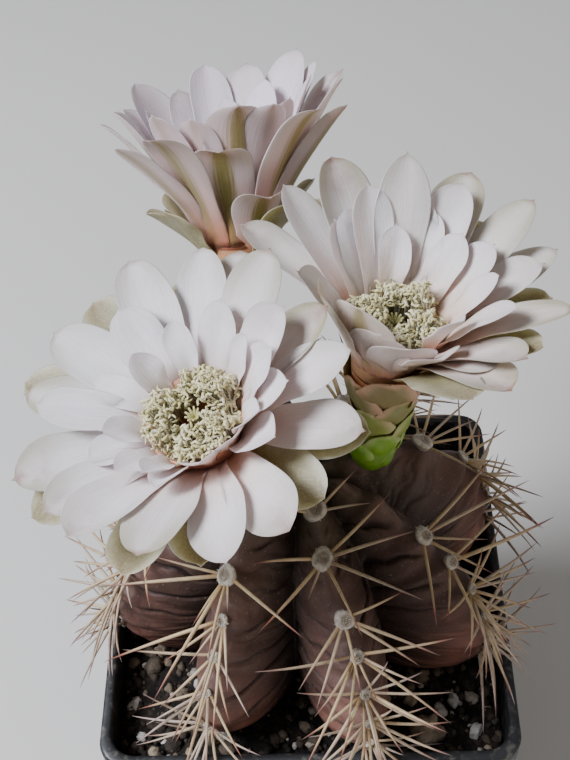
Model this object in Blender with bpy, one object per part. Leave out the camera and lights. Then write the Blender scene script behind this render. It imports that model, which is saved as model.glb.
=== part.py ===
"""A chin cactus in flower, in a square plastic pot.

A low ribbed stem stands in gritty soil and carries three blooms. Units are metres,
+Z is up, and the origin is the middle of the pot's underside. A bloom is worked out
in its own frame, in which h is the height along its axis from the areole it grows
from and r is the distance from that axis.
"""

import collections
import math

import bmesh
import bpy
import numpy as np

MM = 0.001
GOLDEN_TURN = 137.5

# Pot: an 8 cm square nursery pot
POT_HEIGHT = 75 * MM
RIM_HALF = 40 * MM
RIM_INNER_HALF = 38 * MM
RIM_BAND = 7 * MM
POT_WALL = 1.2 * MM
BASE_HALF = 30 * MM
FLOOR_THICKNESS = 1.6 * MM
CORNER_RADIUS = 5 * MM
CORNER_STEPS = 4
DRAIN_SIDES = 8
RIM_STEP = 0.6 * MM
EDGE_ROUND = 0.5 * MM
FOOT_ROUND = 0.8 * MM
DRAIN_RADIUS = 3.2 * MM
DRAIN_PLACE = 17 * MM

# Stem: two half ellipsoids about its widest level, over a root neck in the soil
STEM_RADIUS = 38.8 * MM
WIDEST_LEVEL = 79 * MM
DOME_HEIGHT = 36.5 * MM
FOOT_DEPTH = 24 * MM
FOOT_END = 156
NECK_RADIUS = 8 * MM
NECK_END = 40 * MM
NECK_SLOPE = 2 * MM
CROWN_DIP = 3 * MM
CROWN_DIP_WIDTH = 6 * MM
RIBS = 8
FIRST_RIB = -118.5
GROOVE_SHARE = 0.47
SOIL_GROOVE_SHARE = 0.41
GROOVE_SHAPE = 1.5
CHIN_HEIGHT = 1.3 * MM
COLUMNS_PER_RIB = 8
STEM_ROW_STEP = 6
FOOT_ANGLES = (112, 120, 136, FOOT_END)

# Soil: its level meets the stem 120 degrees down the crest, where the cosine is half
SOIL_LEVEL = WIDEST_LEVEL - FOOT_DEPTH / 2
GAP = 0.35 * MM
GRIT_RELIEF = 0.7 * MM
SOIL_RINGS = 2

# Areoles: the woolly cushions along each rib's crest, with their spines
FIRST_AREOLE = 14
AREOLE_STEP = 12
AREOLES = 7
WOOL_RADIUS = 1.5 * MM
WOOL_SIDES = 5
WOOLLY_PLACES = 4
SPINE_RADIUS = 0.5 * MM
SPINE_BOW = 0.1
SPINE_ROOT = 1.0 * MM
SPINE_RING = 1.1 * MM
# How far spines keep from the pot and the soil, and from the blooms
SPINE_MARGIN = 1.2 * MM
BLOOM_MARGIN = 2.8 * MM
LONGEST_TEPAL = 1.2
# For each spine: its turn from straight down the rib, its rise off the skin, its length
SPINES = (
    (-98, 24, 18 * MM),
    (96, 24, 18 * MM),
    (-46, 27, 20 * MM),
    (44, 27, 19 * MM),
)
LOW_SPINES = (
    (-82, 28, 16 * MM),
    (80, 28, 16 * MM),
    (0, 34, 15 * MM),
)
# The first place on a rib that has the low spines, which are modelled without a bow
FIRST_LOW_PLACE = 4

# Blooms: heights above the end of the green tube, and the funnel that widens there
TEPAL_RING = (0.3 * MM, 4.4 * MM)
PETAL_RING = (4.7 * MM, 10.2 * MM)
TUBE_RADIUS = 6 * MM
RING_WALL = 1.4 * MM
# Every other petal of a whorl stands this many degrees further in than its neighbours
OVERLAP_LEAN = 5
RING_SIDES = 13
HOLLOW_DEPTH = 9 * MM
PETAL_THICKNESS = 0.9 * MM
CLAW = 0.36
WIDEST_SHARE = 0.62
SCALES = 8
# Where along a blade its rows of points stand, for each whorl from the outermost in
PETAL_STATIONS = (
    (0, 0.36, 0.62, 0.84, 0.955, 1),
    (0, 0.36, 0.64, 0.88, 1),
    (0, 0.4, 0.8, 1),
)
TEPAL_STATIONS = (0, 0.4, 0.8, 1)
SCALE_STATIONS = (0, 0.5, 1)
STAMEN_HEAD = (7 * MM, 13.5 * MM)
STAMEN_HOLE = 2.2 * MM
STAMEN_FOOT = 2 * MM
ANTHERS = 14
STYLE_RADIUS = 0.8 * MM
STYLE_TOP = 11 * MM
STIGMA_LOBES = 5

# Each whorl: the turns of its petals in degrees, the height of their roots above the
# green tube, their length and width, and their lean off the axis at root and tip.
# skew is the share by which a bloom's petals are longer towards skew_turn, oval the
# share by which they are longer to both sides than to front and back, and press the
# degrees by which those towards press_turn are pushed out by a neighbour.
BLOOMS = {
    "left": {
        "foot": (-7.2 * MM, -6.2 * MM, 113.4 * MM),
        "lean": 17,
        "towards": -148,
        "tube": 24 * MM,
        "mouth": 9.2 * MM,
        "seed": 11,
        "skew": 0.1,
        "skew_turn": 140,
        "oval": 0.05,
        "press": 19,
        "press_turn": 38,
        "petals": (
            {
                "turns": (10, 38, 66, 87, 110, 138, 172, 196, 222, 247, 276, 302, 340),
                "root": 6 * MM, "length": 22.5 * MM, "width": 9.2 * MM, "spread": (42, 78),
            },
            {
                "turns": (24, 56, 94, 125, 158, 192, 232, 262, 322),
                "root": 7.6 * MM, "length": 17.2 * MM, "width": 8.2 * MM, "spread": (32, 66),
            },
            {
                "turns": (5, 72, 112, 142, 176, 212, 246, 292, 338),
                "root": 9.1 * MM, "length": 12 * MM, "width": 6.2 * MM, "spread": (16, 48),
            },
        ),
        "tepals": {
            "turns": (-10, 70, 98, 125, 160, 208, 236, 262, 322),
            "root": 2.6 * MM, "length": 23.5 * MM, "width": 9.2 * MM, "spread": (48, 80),
        },
    },
    "right": {
        "foot": (12.3 * MM, 0.5 * MM, 113.4 * MM),
        "lean": 11,
        "towards": 52,
        "tube": 24.5 * MM,
        "mouth": 9.2 * MM,
        "seed": 23,
        "skew": 0.1,
        "skew_turn": 122,
        "oval": 0,
        "press": -27,
        "press_turn": 204,
        "petals": (
            {
                "turns": (-72, -46, -15, 14, 38, 63, 88, 113, 136, 158, 190, 222, 252),
                "root": 6 * MM, "length": 25 * MM, "width": 9.2 * MM, "spread": (30, 58),
            },
            {
                "turns": (-58, -28, 2, 27, 52, 76, 101, 126, 148, 208, 275),
                "root": 7.6 * MM, "length": 19.4 * MM, "width": 7.8 * MM, "spread": (23, 47),
            },
            {
                "turns": (-35, 40, 100, 160, 232),
                "root": 9.1 * MM, "length": 14 * MM, "width": 6 * MM, "spread": (12, 34),
            },
        ),
        "tepals": {
            "turns": (-68, -30, 4, 50, 76, 122, 150),
            "root": 2.4 * MM, "length": 24.5 * MM, "width": 9.2 * MM, "spread": (36, 64),
        },
    },
    "back": {
        "foot": (-9 * MM, 14.5 * MM, 110.9 * MM),
        "lean": 33,
        "towards": 95,
        "tube": 29.5 * MM,
        "mouth": 6.6 * MM,
        "seed": 37,
        "skew": 0.1,
        "skew_turn": 80,
        "oval": 0,
        "press": 8,
        "press_turn": 200,
        "petals": (
            {
                "turns": (5, 34, 62, 90, 118, 146, 174, 202, 230, 260, 290, 320, 344),
                "root": 6 * MM, "length": 30 * MM, "width": 9.8 * MM, "spread": (16, 36),
            },
            {
                "turns": (20, 76, 104, 132, 188, 216, 275, 334),
                "root": 7.8 * MM, "length": 26 * MM, "width": 8.2 * MM, "spread": (12, 30),
            },
            {
                "turns": (0, 72, 144, 216, 288),
                "root": 9.1 * MM, "length": 18 * MM, "width": 6.4 * MM, "spread": (8, 22),
            },
        ),
        "tepals": {
            "turns": (12, 60, 108, 150, 196, 228, 262, 300, 338),
            "root": 2.2 * MM, "length": 13 * MM, "width": 8.4 * MM, "spread": (30, 84),
        },
    },
}

COLOURS = {
    "pot_plastic": ((0.012, 0.013, 0.015), 0.42),
    "soil_grit": ((0.030, 0.026, 0.022), 0.95),
    "stem_skin": ((0.125, 0.085, 0.068), 0.62),
    "bloom_green": ((0.19, 0.30, 0.05), 0.5),
    "tepal_olive": ((0.42, 0.40, 0.22), 0.5),
    "petal_white": ((0.83, 0.80, 0.80), 0.5),
    "stamen_cream": ((0.72, 0.66, 0.38), 0.7),
    "pistil_cream": ((0.62, 0.64, 0.36), 0.6),
}


def material(name):
    """The named material: one colour and roughness, no metal."""
    made = bpy.data.materials.get(name)
    if made is None:
        colour, roughness = COLOURS[name]
        made = bpy.data.materials.new(name)
        made.use_nodes = True
        shader = made.node_tree.nodes["Principled BSDF"]
        shader.inputs["Base Color"].default_value = (*colour, 1)
        shader.inputs["Roughness"].default_value = roughness
        shader.inputs["Metallic"].default_value = 0
    return made


def mesh_object(name, points, faces, finish):
    """A new object with this mesh, shaded smooth except at edges over 40 degrees."""
    mesh = bpy.data.meshes.new(name)
    mesh.from_pydata([tuple(map(float, point)) for point in points], [], faces)
    mesh.materials.append(material(finish))
    mesh.validate()
    mesh.shade_smooth()
    mesh.set_sharp_from_angle(angle=math.radians(40))
    made = bpy.data.objects.new(name, mesh)
    bpy.context.scene.collection.objects.link(made)
    return made


def keep_largest_piece(body):
    """Leaves out every island of the mesh but the one with the most points.

    A loose scrap, and the wall of a hollow that the union has sealed, are islands.
    """
    shape = bmesh.new()
    shape.from_mesh(body.data)
    shape.verts.ensure_lookup_table()
    island = {}
    for start in shape.verts:
        if start in island:
            continue
        island[start] = start.index
        waiting = [start]
        while waiting:
            corner = waiting.pop()
            for edge in corner.link_edges:
                other = edge.other_vert(corner)
                if other not in island:
                    island[other] = start.index
                    waiting.append(other)
    sizes = collections.Counter(island.values())
    kept = sizes.most_common(1)[0][0]
    loose = [corner for corner in shape.verts if island[corner] != kept]
    bmesh.ops.delete(shape, geom=loose, context="VERTS")
    shape.to_mesh(body.data)
    shape.free()


def fuse(body, repeats):
    """Joins the repeats to the body with one Boolean union on their collection."""
    group = bpy.data.collections.new(body.name + "_repeats")
    bpy.context.scene.collection.children.link(group)
    for piece in repeats:
        bpy.context.scene.collection.objects.unlink(piece)
        group.objects.link(piece)
    union = body.modifiers.new("union", "BOOLEAN")
    union.operation = "UNION"
    union.operand_type = "COLLECTION"
    union.collection = group
    union.solver = "MANIFOLD"
    graph = bpy.context.evaluated_depsgraph_get()
    joined = bpy.data.meshes.new_from_object(body.evaluated_get(graph))
    body.modifiers.clear()
    body.data = joined
    for piece in list(group.objects):
        bpy.data.objects.remove(piece)
    bpy.data.collections.remove(group)
    keep_largest_piece(body)


def loft_faces(rows, columns):
    """Quads between closed rings of points laid out row by row."""
    faces = []
    for row in range(rows - 1):
        for column in range(columns):
            after = (column + 1) % columns
            low = row * columns
            high = low + columns
            faces.append((low + column, low + after, high + after, high + column))
    return faces


def closed_loft(rings):
    """Points and faces of a loft through closed rings, with a fan at each end."""
    columns = len(rings[0])
    points = np.concatenate([*rings, [rings[0].mean(axis=0)], [rings[-1].mean(axis=0)]])
    faces = loft_faces(len(rings), columns)
    bottom = len(rings) * columns
    last = bottom - columns
    for column in range(columns):
        after = (column + 1) % columns
        faces.append((bottom, after, column))
        faces.append((bottom + 1, last + column, last + after))
    return points, faces


def wall_reach(turn, half, corner):
    """Distance from the middle of a round-cornered square to its side, along a turn."""
    across = np.abs(np.cos(turn))
    along = np.abs(np.sin(turn))
    flat = half / np.maximum(across, along)
    centre = half - corner
    lean = centre * (across + along)
    rounded = lean + np.sqrt(np.maximum(lean**2 - 2 * centre**2 + corner**2, 0))
    in_corner = np.minimum(across, along) * flat > centre
    return np.where(in_corner, rounded, flat)


def pot_inner_half(z):
    """Half the width of the pot's inside at this height, below the rim band."""
    share = (z - FLOOR_THICKNESS) / (POT_HEIGHT - RIM_BAND - FLOOR_THICKNESS)
    top = RIM_INNER_HALF
    low = BASE_HALF - POT_WALL
    return low + (top - low) * np.clip(share, 0, 1)


def square_ring(half, z):
    """A closed ring of points round a round-cornered square."""
    centre = half - CORNER_RADIUS
    ring = []
    for corner in range(4):
        middle = math.radians(45 + 90 * corner)
        x = centre * math.copysign(1, math.cos(middle))
        y = centre * math.copysign(1, math.sin(middle))
        for step in range(CORNER_STEPS + 1):
            turn = middle + math.radians(90 * step / CORNER_STEPS - 45)
            across = x + CORNER_RADIUS * math.cos(turn)
            along = y + CORNER_RADIUS * math.sin(turn)
            ring.append((across, along, z))
    return np.array(ring)


def make_pot():
    """A tapered square pot with a stepped rim and four drain holes in its floor."""
    band = POT_HEIGHT - RIM_BAND
    below_band = RIM_INNER_HALF + POT_WALL - RIM_STEP
    rings = [
        square_ring(BASE_HALF - FOOT_ROUND, 0),
        square_ring(BASE_HALF, FOOT_ROUND),
        square_ring(below_band, band),
        square_ring(RIM_HALF, band + RIM_STEP),
        square_ring(RIM_HALF, POT_HEIGHT - EDGE_ROUND),
        square_ring(RIM_HALF - EDGE_ROUND, POT_HEIGHT),
        square_ring(RIM_INNER_HALF + EDGE_ROUND, POT_HEIGHT),
        square_ring(RIM_INNER_HALF, POT_HEIGHT - EDGE_ROUND),
        square_ring(RIM_INNER_HALF, band),
        square_ring(BASE_HALF - POT_WALL, FLOOR_THICKNESS),
    ]
    points, faces = closed_loft(rings)
    pot = mesh_object("pot", points, faces, "pot_plastic")
    for corner in range(4):
        turn = math.radians(45 + 90 * corner)
        bpy.ops.mesh.primitive_cylinder_add(
            vertices=DRAIN_SIDES,
            radius=DRAIN_RADIUS,
            depth=5 * FLOOR_THICKNESS,
            location=(
                DRAIN_PLACE * math.sqrt(2) * math.cos(turn),
                DRAIN_PLACE * math.sqrt(2) * math.sin(turn),
                0,
            ),
        )
        drill = bpy.context.object
        drill.name = f"drain_cutter_{corner}"
        drill.hide_render = True
        drill.display_type = "WIRE"
        cut = pot.modifiers.new(f"drain_{corner}", "BOOLEAN")
        cut.operation = "DIFFERENCE"
        cut.object = drill
    return pot


def stem_surface(angle, turn, gap=0.0, groove=GROOVE_SHARE):
    """Points of the stem's skin, the ribbed form of an ellipse turned about Z.

    angle runs from 0 at the apex down the crest and turn is the azimuth, in degrees.
    The crest is R sin(angle) wide and its height follows cos(angle). Between crests
    the skin sinks along the crest's normal by a share of its radius, times the
    distance from the crest to a power, which leaves sharp grooves between round ribs.
    Under its widest level the skin sinks level, so that each row stays level.
    """
    slope = np.radians(angle)
    from_crest = (turn - FIRST_RIB + 22.5) % 45 - 22.5
    across = np.abs(from_crest) / 22.5
    half = np.where(slope < math.pi / 2, DOME_HEIGHT, FOOT_DEPTH)
    reach = STEM_RADIUS * np.sin(slope) + gap
    height = WIDEST_LEVEL + half * np.cos(slope)
    out = np.stack([half * np.sin(slope), STEM_RADIUS * np.maximum(np.cos(slope), 0)])
    out = out / np.linalg.norm(out, axis=0)
    fade = np.clip((FOOT_END - angle) / 30, 0, 1)
    sink = groove * STEM_RADIUS * np.sin(slope) * across**GROOVE_SHAPE * fade
    place = (angle - FIRST_AREOLE) / AREOLE_STEP
    chin = 0.75 * np.cos(2 * np.pi * (place - 0.1)) + 0.25 * np.cos(4 * np.pi * place)
    chin = CHIN_HEIGHT * chin * (1 - 0.55 * across) * np.clip((112 - angle) / 25, 0, 1)
    chin = chin * np.clip(angle / FIRST_AREOLE, 0, 1) * np.clip(2.2 - angle / 60, 0.55, 1)
    reach = reach + (chin - sink) * out[0]
    height = height + (chin - sink) * out[1]
    height = height - CROWN_DIP * np.exp(-((reach / CROWN_DIP_WIDTH) ** 2))
    reach = np.where(angle > 90, np.maximum(reach, NECK_RADIUS + gap), reach)
    around = np.radians(turn)
    return np.stack([reach * np.cos(around), reach * np.sin(around), height], axis=-1)


def stem_turns():
    """The azimuths of the stem's columns, the first on a crest."""
    return FIRST_RIB + 45 / COLUMNS_PER_RIB * np.arange(RIBS * COLUMNS_PER_RIB)


def make_soil():
    """Gritty soil that fills the pot, with a hole that follows the stem's foot."""
    turns = stem_turns()
    hole = []
    for step, angle in enumerate(FOOT_ANGLES[1:]):
        row = np.full(turns.shape, float(angle))
        ring = stem_surface(row, turns, (1 + step) * GAP, SOIL_GROOVE_SHARE)
        ring[:, 2] -= step * GAP
        hole.append(ring)
    mouth = hole[0]
    # The outer columns turn a little further, so that one falls in each corner.
    around = np.radians(turns + 1.5)
    rings = []
    for z in (FLOOR_THICKNESS + GAP, SOIL_LEVEL):
        half = pot_inner_half(z) - GAP
        reach = wall_reach(around, half, CORNER_RADIUS)
        wall = np.stack([reach * np.cos(around), reach * np.sin(around)], axis=-1)
        rings.append(np.column_stack([wall, np.full(len(turns), z)]))
    edge = rings[-1]
    for step in range(1, SOIL_RINGS):
        share = step / SOIL_RINGS
        ring = edge * (1 - share) + mouth * share
        grit = np.sin(1900 * ring[:, 0] + 3 * step) * np.sin(2300 * ring[:, 1] + step)
        ring[:, 2] = SOIL_LEVEL + GRIT_RELIEF * grit
        rings.append(ring)
    rings.extend(hole)
    around = np.radians(turns)
    for z in (rings[-1][0, 2] - NECK_SLOPE, NECK_END - GAP):
        reach = NECK_RADIUS + 3 * GAP
        neck = np.stack([reach * np.cos(around), reach * np.sin(around)], axis=-1)
        rings.append(np.column_stack([neck, np.full(len(turns), z)]))
    points, faces = closed_loft(rings)
    return mesh_object("soil", points, faces, "soil_grit")


def crest_frame(rib, place):
    """An areole's point on a rib's crest, and the directions out, down and across."""
    turn = FIRST_RIB + 45 * rib
    angle = FIRST_AREOLE + AREOLE_STEP * place
    point, below = stem_surface(np.array([angle, angle + 1.0]), np.array([turn, turn]))
    down = below - point
    down /= np.linalg.norm(down)
    around = math.radians(turn)
    across = np.array([-math.sin(around), math.cos(around), 0])
    out = np.cross(across, down)
    out *= np.sign(out @ (point - np.array([0, 0, WIDEST_LEVEL])))
    return point, out, down, across


NEEDLE_FACES = (
    (2, 1, 0),
    (0, 1, 4, 3),
    (1, 2, 5, 4),
    (2, 0, 3, 5),
    (3, 4, 6),
    (4, 5, 6),
    (5, 3, 6),
)
STRAIGHT_FACES = ((2, 1, 0), (0, 1, 3), (1, 2, 3), (2, 0, 3))


def needle(name, foot, heading, bend, length, stages):
    """A three-sided spine that bows towards bend, through (share, radius) stages."""
    side = np.cross(heading, bend)
    side /= np.linalg.norm(side)
    up = np.cross(heading, side)
    points = []
    for share, radius in stages:
        along = heading * (share * length) + bend * (SPINE_BOW * length * share**2)
        for corner in range(3):
            turn = 2 * math.pi * corner / 3
            offset = side * math.cos(turn) + up * math.sin(turn)
            points.append(foot + along + offset * radius)
    points.append(foot + heading * length + bend * (SPINE_BOW * length))
    faces = NEEDLE_FACES if len(stages) == 2 else STRAIGHT_FACES
    return mesh_object(name, points, faces, "stem_skin")


def tuft(name, centre, out, radius):
    """A cushion of wool, sunk to its middle in the skin."""
    side = np.cross(out, [0.3, 0.5, 0.8])
    side /= np.linalg.norm(side)
    up = np.cross(out, side)
    rings = []
    for lift, reach in ((-0.5, 0.8), (0.5, 0.9)):
        ring = []
        for corner in range(WOOL_SIDES):
            turn = 2 * math.pi * corner / WOOL_SIDES
            offset = side * math.cos(turn) + up * math.sin(turn)
            ring.append(centre + (offset * reach + out * lift) * radius)
        rings.append(np.array(ring))
    points, faces = closed_loft(rings)
    return mesh_object(name, points, faces, "stem_skin")


def bloom_frame(bloom):
    """A bloom's foot, and its directions u, v and w, with w along its axis."""
    lean = math.radians(bloom["lean"])
    towards = math.radians(bloom["towards"])
    w = np.array([
        math.sin(lean) * math.cos(towards),
        math.sin(lean) * math.sin(towards),
        math.cos(lean),
    ])
    u = np.array([1.0, 0.0, 0.0]) - w[0] * w
    u /= np.linalg.norm(u)
    foot = np.array(bloom["foot"])
    return foot, u, np.cross(w, u), w


def above_tube(bloom):
    """The bloom's frame, moved up its axis to the end of the green tube."""
    foot, u, v, w = bloom_frame(bloom)
    return foot + bloom["tube"] * w, u, v, w


def green_radius(share):
    """Outer radius of the green tube at a share of its length: a swelling and a waist."""
    stages = (0, 0.06, 0.18, 0.38, 0.58, 1)
    radii = (0.15, 0.44, 0.7, 0.79, 0.77, 1)
    return TUBE_RADIUS * np.interp(share, stages, radii)


def funnel(bloom, h):
    """Outer radius of the funnel at a height above the green tube's end."""
    widening = np.clip(h / PETAL_RING[1], 0, 1)
    return TUBE_RADIUS + (bloom["mouth"] - TUBE_RADIUS) * widening**1.5


def turned(frame, profile, sides):
    """A ring of points about a bloom's axis for each (r, h) pair of the profile."""
    foot, u, v, w = frame
    rings = []
    for r, h in profile:
        ring = []
        for side in range(sides):
            turn = 2 * math.pi * side / sides
            ring.append(foot + r * (u * math.cos(turn) + v * math.sin(turn)) + h * w)
        rings.append(np.array(ring))
    return rings


def ring_body(name, frame, profile, finish):
    """A closed ring: the profile turned about the bloom's axis and joined end to end."""
    rings = turned(frame, profile, RING_SIDES)
    points = np.concatenate(rings + [rings[0]])
    count = len(profile) * RING_SIDES
    faces = []
    for face in loft_faces(len(profile) + 1, RING_SIDES):
        faces.append(tuple(index % count for index in face))
    return mesh_object(name, points[:count], faces, finish)


def blade_line(root_r, root_h, length, spread, share):
    """Radius and height of a petal's midline at each share of its length.

    The midline leans from spread[0] to spread[1] degrees off the axis, most of it in
    the lower half, and its radius and height are the running sums of the sine and
    cosine of that lean.
    """
    fine = np.linspace(0, 1, 41)
    lean = np.radians(spread[0] + (spread[1] - spread[0]) * (1 - (1 - fine) ** 2.2))
    middle = (lean[1:] + lean[:-1]) / 2
    r = np.concatenate([[0], np.cumsum(np.sin(middle))]) * length / 40
    h = np.concatenate([[0], np.cumsum(np.cos(middle))]) * length / 40
    lean_here = np.interp(share, fine, lean)
    return root_r + np.interp(share, fine, r), root_h + np.interp(share, fine, h), lean_here


def blade_width(share, claw, peak):
    """Width as a share of the full one: a claw, a smooth swelling, a round end."""
    rise = np.clip(share / peak, 0, 1)
    body = claw + (1 - claw) * rise**2 * (3 - 2 * rise)
    end = np.clip((share - peak) / (1 - peak), 0, 1)
    return body * np.sqrt(np.maximum(1 - end**2, 0))


def blade(name, frame, turn, petal, stations, finish, claw, peak):
    """A closed leaf of three lines that meet at the tip: two edges and a keel behind.

    The edges stand out to each side of the midline by half the width, and rise off it
    by cup and, one up and one down, by twist, both as shares of the half width.
    """
    foot, u, v, w = frame
    around = math.radians(turn)
    out = u * math.cos(around) + v * math.sin(around)
    side = np.cross(w, out)
    share = np.array(stations)
    r, h, lean = blade_line(
        petal["root_r"], petal["root"], petal["length"], petal["spread"], share
    )
    half = petal["width"] / 2 * blade_width(share, claw, peak)
    normal = np.outer(-np.cos(lean), out) + np.outer(np.sin(lean), w)
    middle = foot + np.outer(r, out) + np.outer(h, w)
    cup = petal["cup"] * half[:, None]
    twist = petal["twist"] * half[:, None]
    keel = middle - normal * (PETAL_THICKNESS * np.linspace(1, 0.8, len(share))[:, None])
    left = middle - half[:, None] * side + normal * (cup - twist)
    right = middle + half[:, None] * side + normal * (cup + twist)
    last = len(share) - 1
    points = np.stack([left[:last], right[:last], keel[:last]], axis=1).reshape(-1, 3)
    points = np.concatenate([points, middle[last:]])
    faces = [(0, 1, 2)]
    for low in range(0, 3 * (last - 1), 3):
        for first, second in ((0, 1), (1, 2), (2, 0)):
            faces.append((low + first, low + 3 + first, low + 3 + second))
            faces.append((low + first, low + 3 + second, low + second))
    tip = 3 * last
    for first, second in ((0, 1), (1, 2), (2, 0)):
        faces.append((tip - 3 + first, tip, tip - 3 + second))
    return mesh_object(name, points, faces, finish)


def whorl(name, bloom, rules, stations, draw, finish):
    """The petals of one whorl, each with its own small seeded differences."""
    blades = []
    for number, turn in enumerate(rules["turns"]):
        change = draw.uniform(-1, 1, 5)
        longer = bloom["skew"] * math.cos(math.radians(turn - bloom["skew_turn"]))
        longer += bloom["oval"] * math.cos(math.radians(2 * turn))
        near = max(0, math.cos(math.radians(turn - bloom["press_turn"]))) ** 2
        low, high = rules["spread"]
        push = bloom["press"] * near - OVERLAP_LEAN * (number % 2)
        petal = {
            "root": rules["root"],
            "root_r": funnel(bloom, rules["root"]) - RING_WALL * 0.6,
            "length": rules["length"] * (1 + longer + 0.05 * change[0]),
            "width": rules["width"] * (1 + 0.07 * change[1]),
            "spread": (low + push * 0.5, high + push + 4 * change[2]),
            "cup": 0.13 + 0.05 * change[3],
            "twist": 0.10 * change[4],
        }
        blades.append(
            blade(f"{name}_{number}", above_tube(bloom), turn, petal,
                  stations, finish, CLAW, WIDEST_SHARE)
        )
    return blades


def make_tube(side, bloom):
    """The green tube with its spiral of broad scales, hollow at the top."""
    frame = bloom_frame(bloom)
    end = bloom["tube"]
    profile = [(green_radius(share), share * end) for share in (0, 0.06, 0.18, 0.4, 1)]
    profile.append((TUBE_RADIUS - RING_WALL, end))
    profile.append((TUBE_RADIUS - 2.2 * RING_WALL, end - HOLLOW_DEPTH))
    points, faces = closed_loft(turned(frame, profile, RING_SIDES))
    tube = mesh_object(f"bloom_{side}_tube", points, faces, "bloom_green")
    scales = []
    for number in range(SCALES):
        grow = number / (SCALES - 1)
        height = 0.14 + 0.52 * grow
        scale = {
            "root": height * end,
            "root_r": green_radius(height) - 0.8 * MM,
            "length": (4.6 + 3.2 * grow) * MM,
            "width": (5.2 + 3 * grow) * MM,
            "spread": (36, 8),
            "cup": 0.34,
            "twist": 0,
        }
        turn = GOLDEN_TURN * number + 40
        scales.append(
            blade(f"scale_{side}_{number}", frame, turn, scale, SCALE_STATIONS,
                  "bloom_green", claw=0.8, peak=0.35)
        )
    fuse(tube, scales)


def ring_profile(bloom, low, high):
    """The four corners of a ring that follows the funnel between two heights."""
    return [
        (funnel(bloom, low) - RING_WALL, low),
        (funnel(bloom, low), low),
        (funnel(bloom, high), high),
        (funnel(bloom, high) - RING_WALL, high),
    ]


def make_bloom(side, bloom):
    """A bloom: tube, outer tepals, petals in three whorls, stamens and pistil."""
    draw = np.random.default_rng(bloom["seed"])
    make_tube(side, bloom)
    frame = above_tube(bloom)
    name = f"bloom_{side}_tepals"
    tepals = ring_body(name, frame, ring_profile(bloom, *TEPAL_RING), "tepal_olive")
    fuse(tepals, whorl(f"tepal_{side}", bloom, bloom["tepals"], TEPAL_STATIONS,
                       draw, "tepal_olive"))
    name = f"bloom_{side}_petals"
    petals = ring_body(name, frame, ring_profile(bloom, *PETAL_RING), "petal_white")
    blades = []
    for number, rules in enumerate(bloom["petals"]):
        blades.extend(whorl(f"petal_{side}_{number}", bloom, rules,
                            PETAL_STATIONS[number], draw, "petal_white"))
    fuse(petals, blades)
    make_stamens(side, bloom, draw)
    make_pistil(side, frame)


def make_stamens(side, bloom, draw):
    """A ring of filaments in the throat, with anthers that stand out of it."""
    frame = above_tube(bloom)
    foot, u, v, w = frame
    low, high = STAMEN_HEAD
    inside = funnel(bloom, PETAL_RING[0]) - RING_WALL - GAP
    mouth = funnel(bloom, PETAL_RING[1]) - RING_WALL - 2 * GAP
    profile = [
        (STAMEN_HOLE, STAMEN_FOOT),
        (inside - 0.8 * MM, STAMEN_FOOT),
        (inside, low - 2 * MM),
        (inside + 0.3 * MM, low),
        (mouth, high - 3 * MM),
        (mouth - 0.8 * MM, high - 1 * MM),
        (STAMEN_HOLE + 0.6 * MM, high - 2.5 * MM),
    ]
    body = ring_body(f"bloom_{side}_stamens", frame, profile, "stamen_cream")
    anthers = []
    for number in range(ANTHERS):
        turn = math.radians(GOLDEN_TURN * number)
        share = ((number + 0.5) / ANTHERS) ** 0.6
        reach = STAMEN_HOLE + 0.9 * MM + (mouth - STAMEN_HOLE - 1.4 * MM) * share
        out = u * math.cos(turn) + v * math.sin(turn)
        start = foot + out * reach + w * (high - 3.4 * MM)
        heading = w + out * 0.3 * share
        heading /= np.linalg.norm(heading)
        length = (4.6 + 0.9 * draw.uniform(-1, 1)) * MM
        anthers.append(anther(f"anther_{side}_{number}", start, heading, length))
    fuse(body, anthers)


def anther(name, start, heading, length):
    """A three-sided filament that swells into an anther and ends in a point."""
    side = np.cross(heading, [0.2, 0.9, 0.1])
    side /= np.linalg.norm(side)
    up = np.cross(heading, side)
    points = []
    for share, thick in ((0, 0.45), (0.8, 0.85)):
        for corner in range(3):
            turn = 2 * math.pi * corner / 3
            offset = side * math.cos(turn) + up * math.sin(turn)
            points.append(start + heading * length * share + offset * thick * MM)
    points.append(start + heading * length)
    return mesh_object(name, points, NEEDLE_FACES, "stamen_cream")


def make_pistil(side, frame):
    """The style that stands in the tube's hollow, with its crown of stigma lobes."""
    foot, u, v, w = frame
    low = GAP - HOLLOW_DEPTH
    profile = [
        (STYLE_RADIUS * 1.3, low),
        (STYLE_RADIUS, low + 3 * MM),
        (STYLE_RADIUS * 1.2, STYLE_TOP),
    ]
    points, faces = closed_loft(turned(frame, profile, 6))
    style = mesh_object(f"bloom_{side}_pistil", points, faces, "pistil_cream")
    lobes = []
    for number in range(STIGMA_LOBES):
        turn = 2 * math.pi * number / STIGMA_LOBES
        out = u * math.cos(turn) + v * math.sin(turn)
        heading = (out * 0.5 + w) / math.hypot(0.5, 1)
        start = foot + w * (STYLE_TOP - 1.6 * MM)
        lobes.append(anther(f"lobe_{side}_{number}", start, heading, 3.4 * MM))
    fuse(style, lobes)


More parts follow.
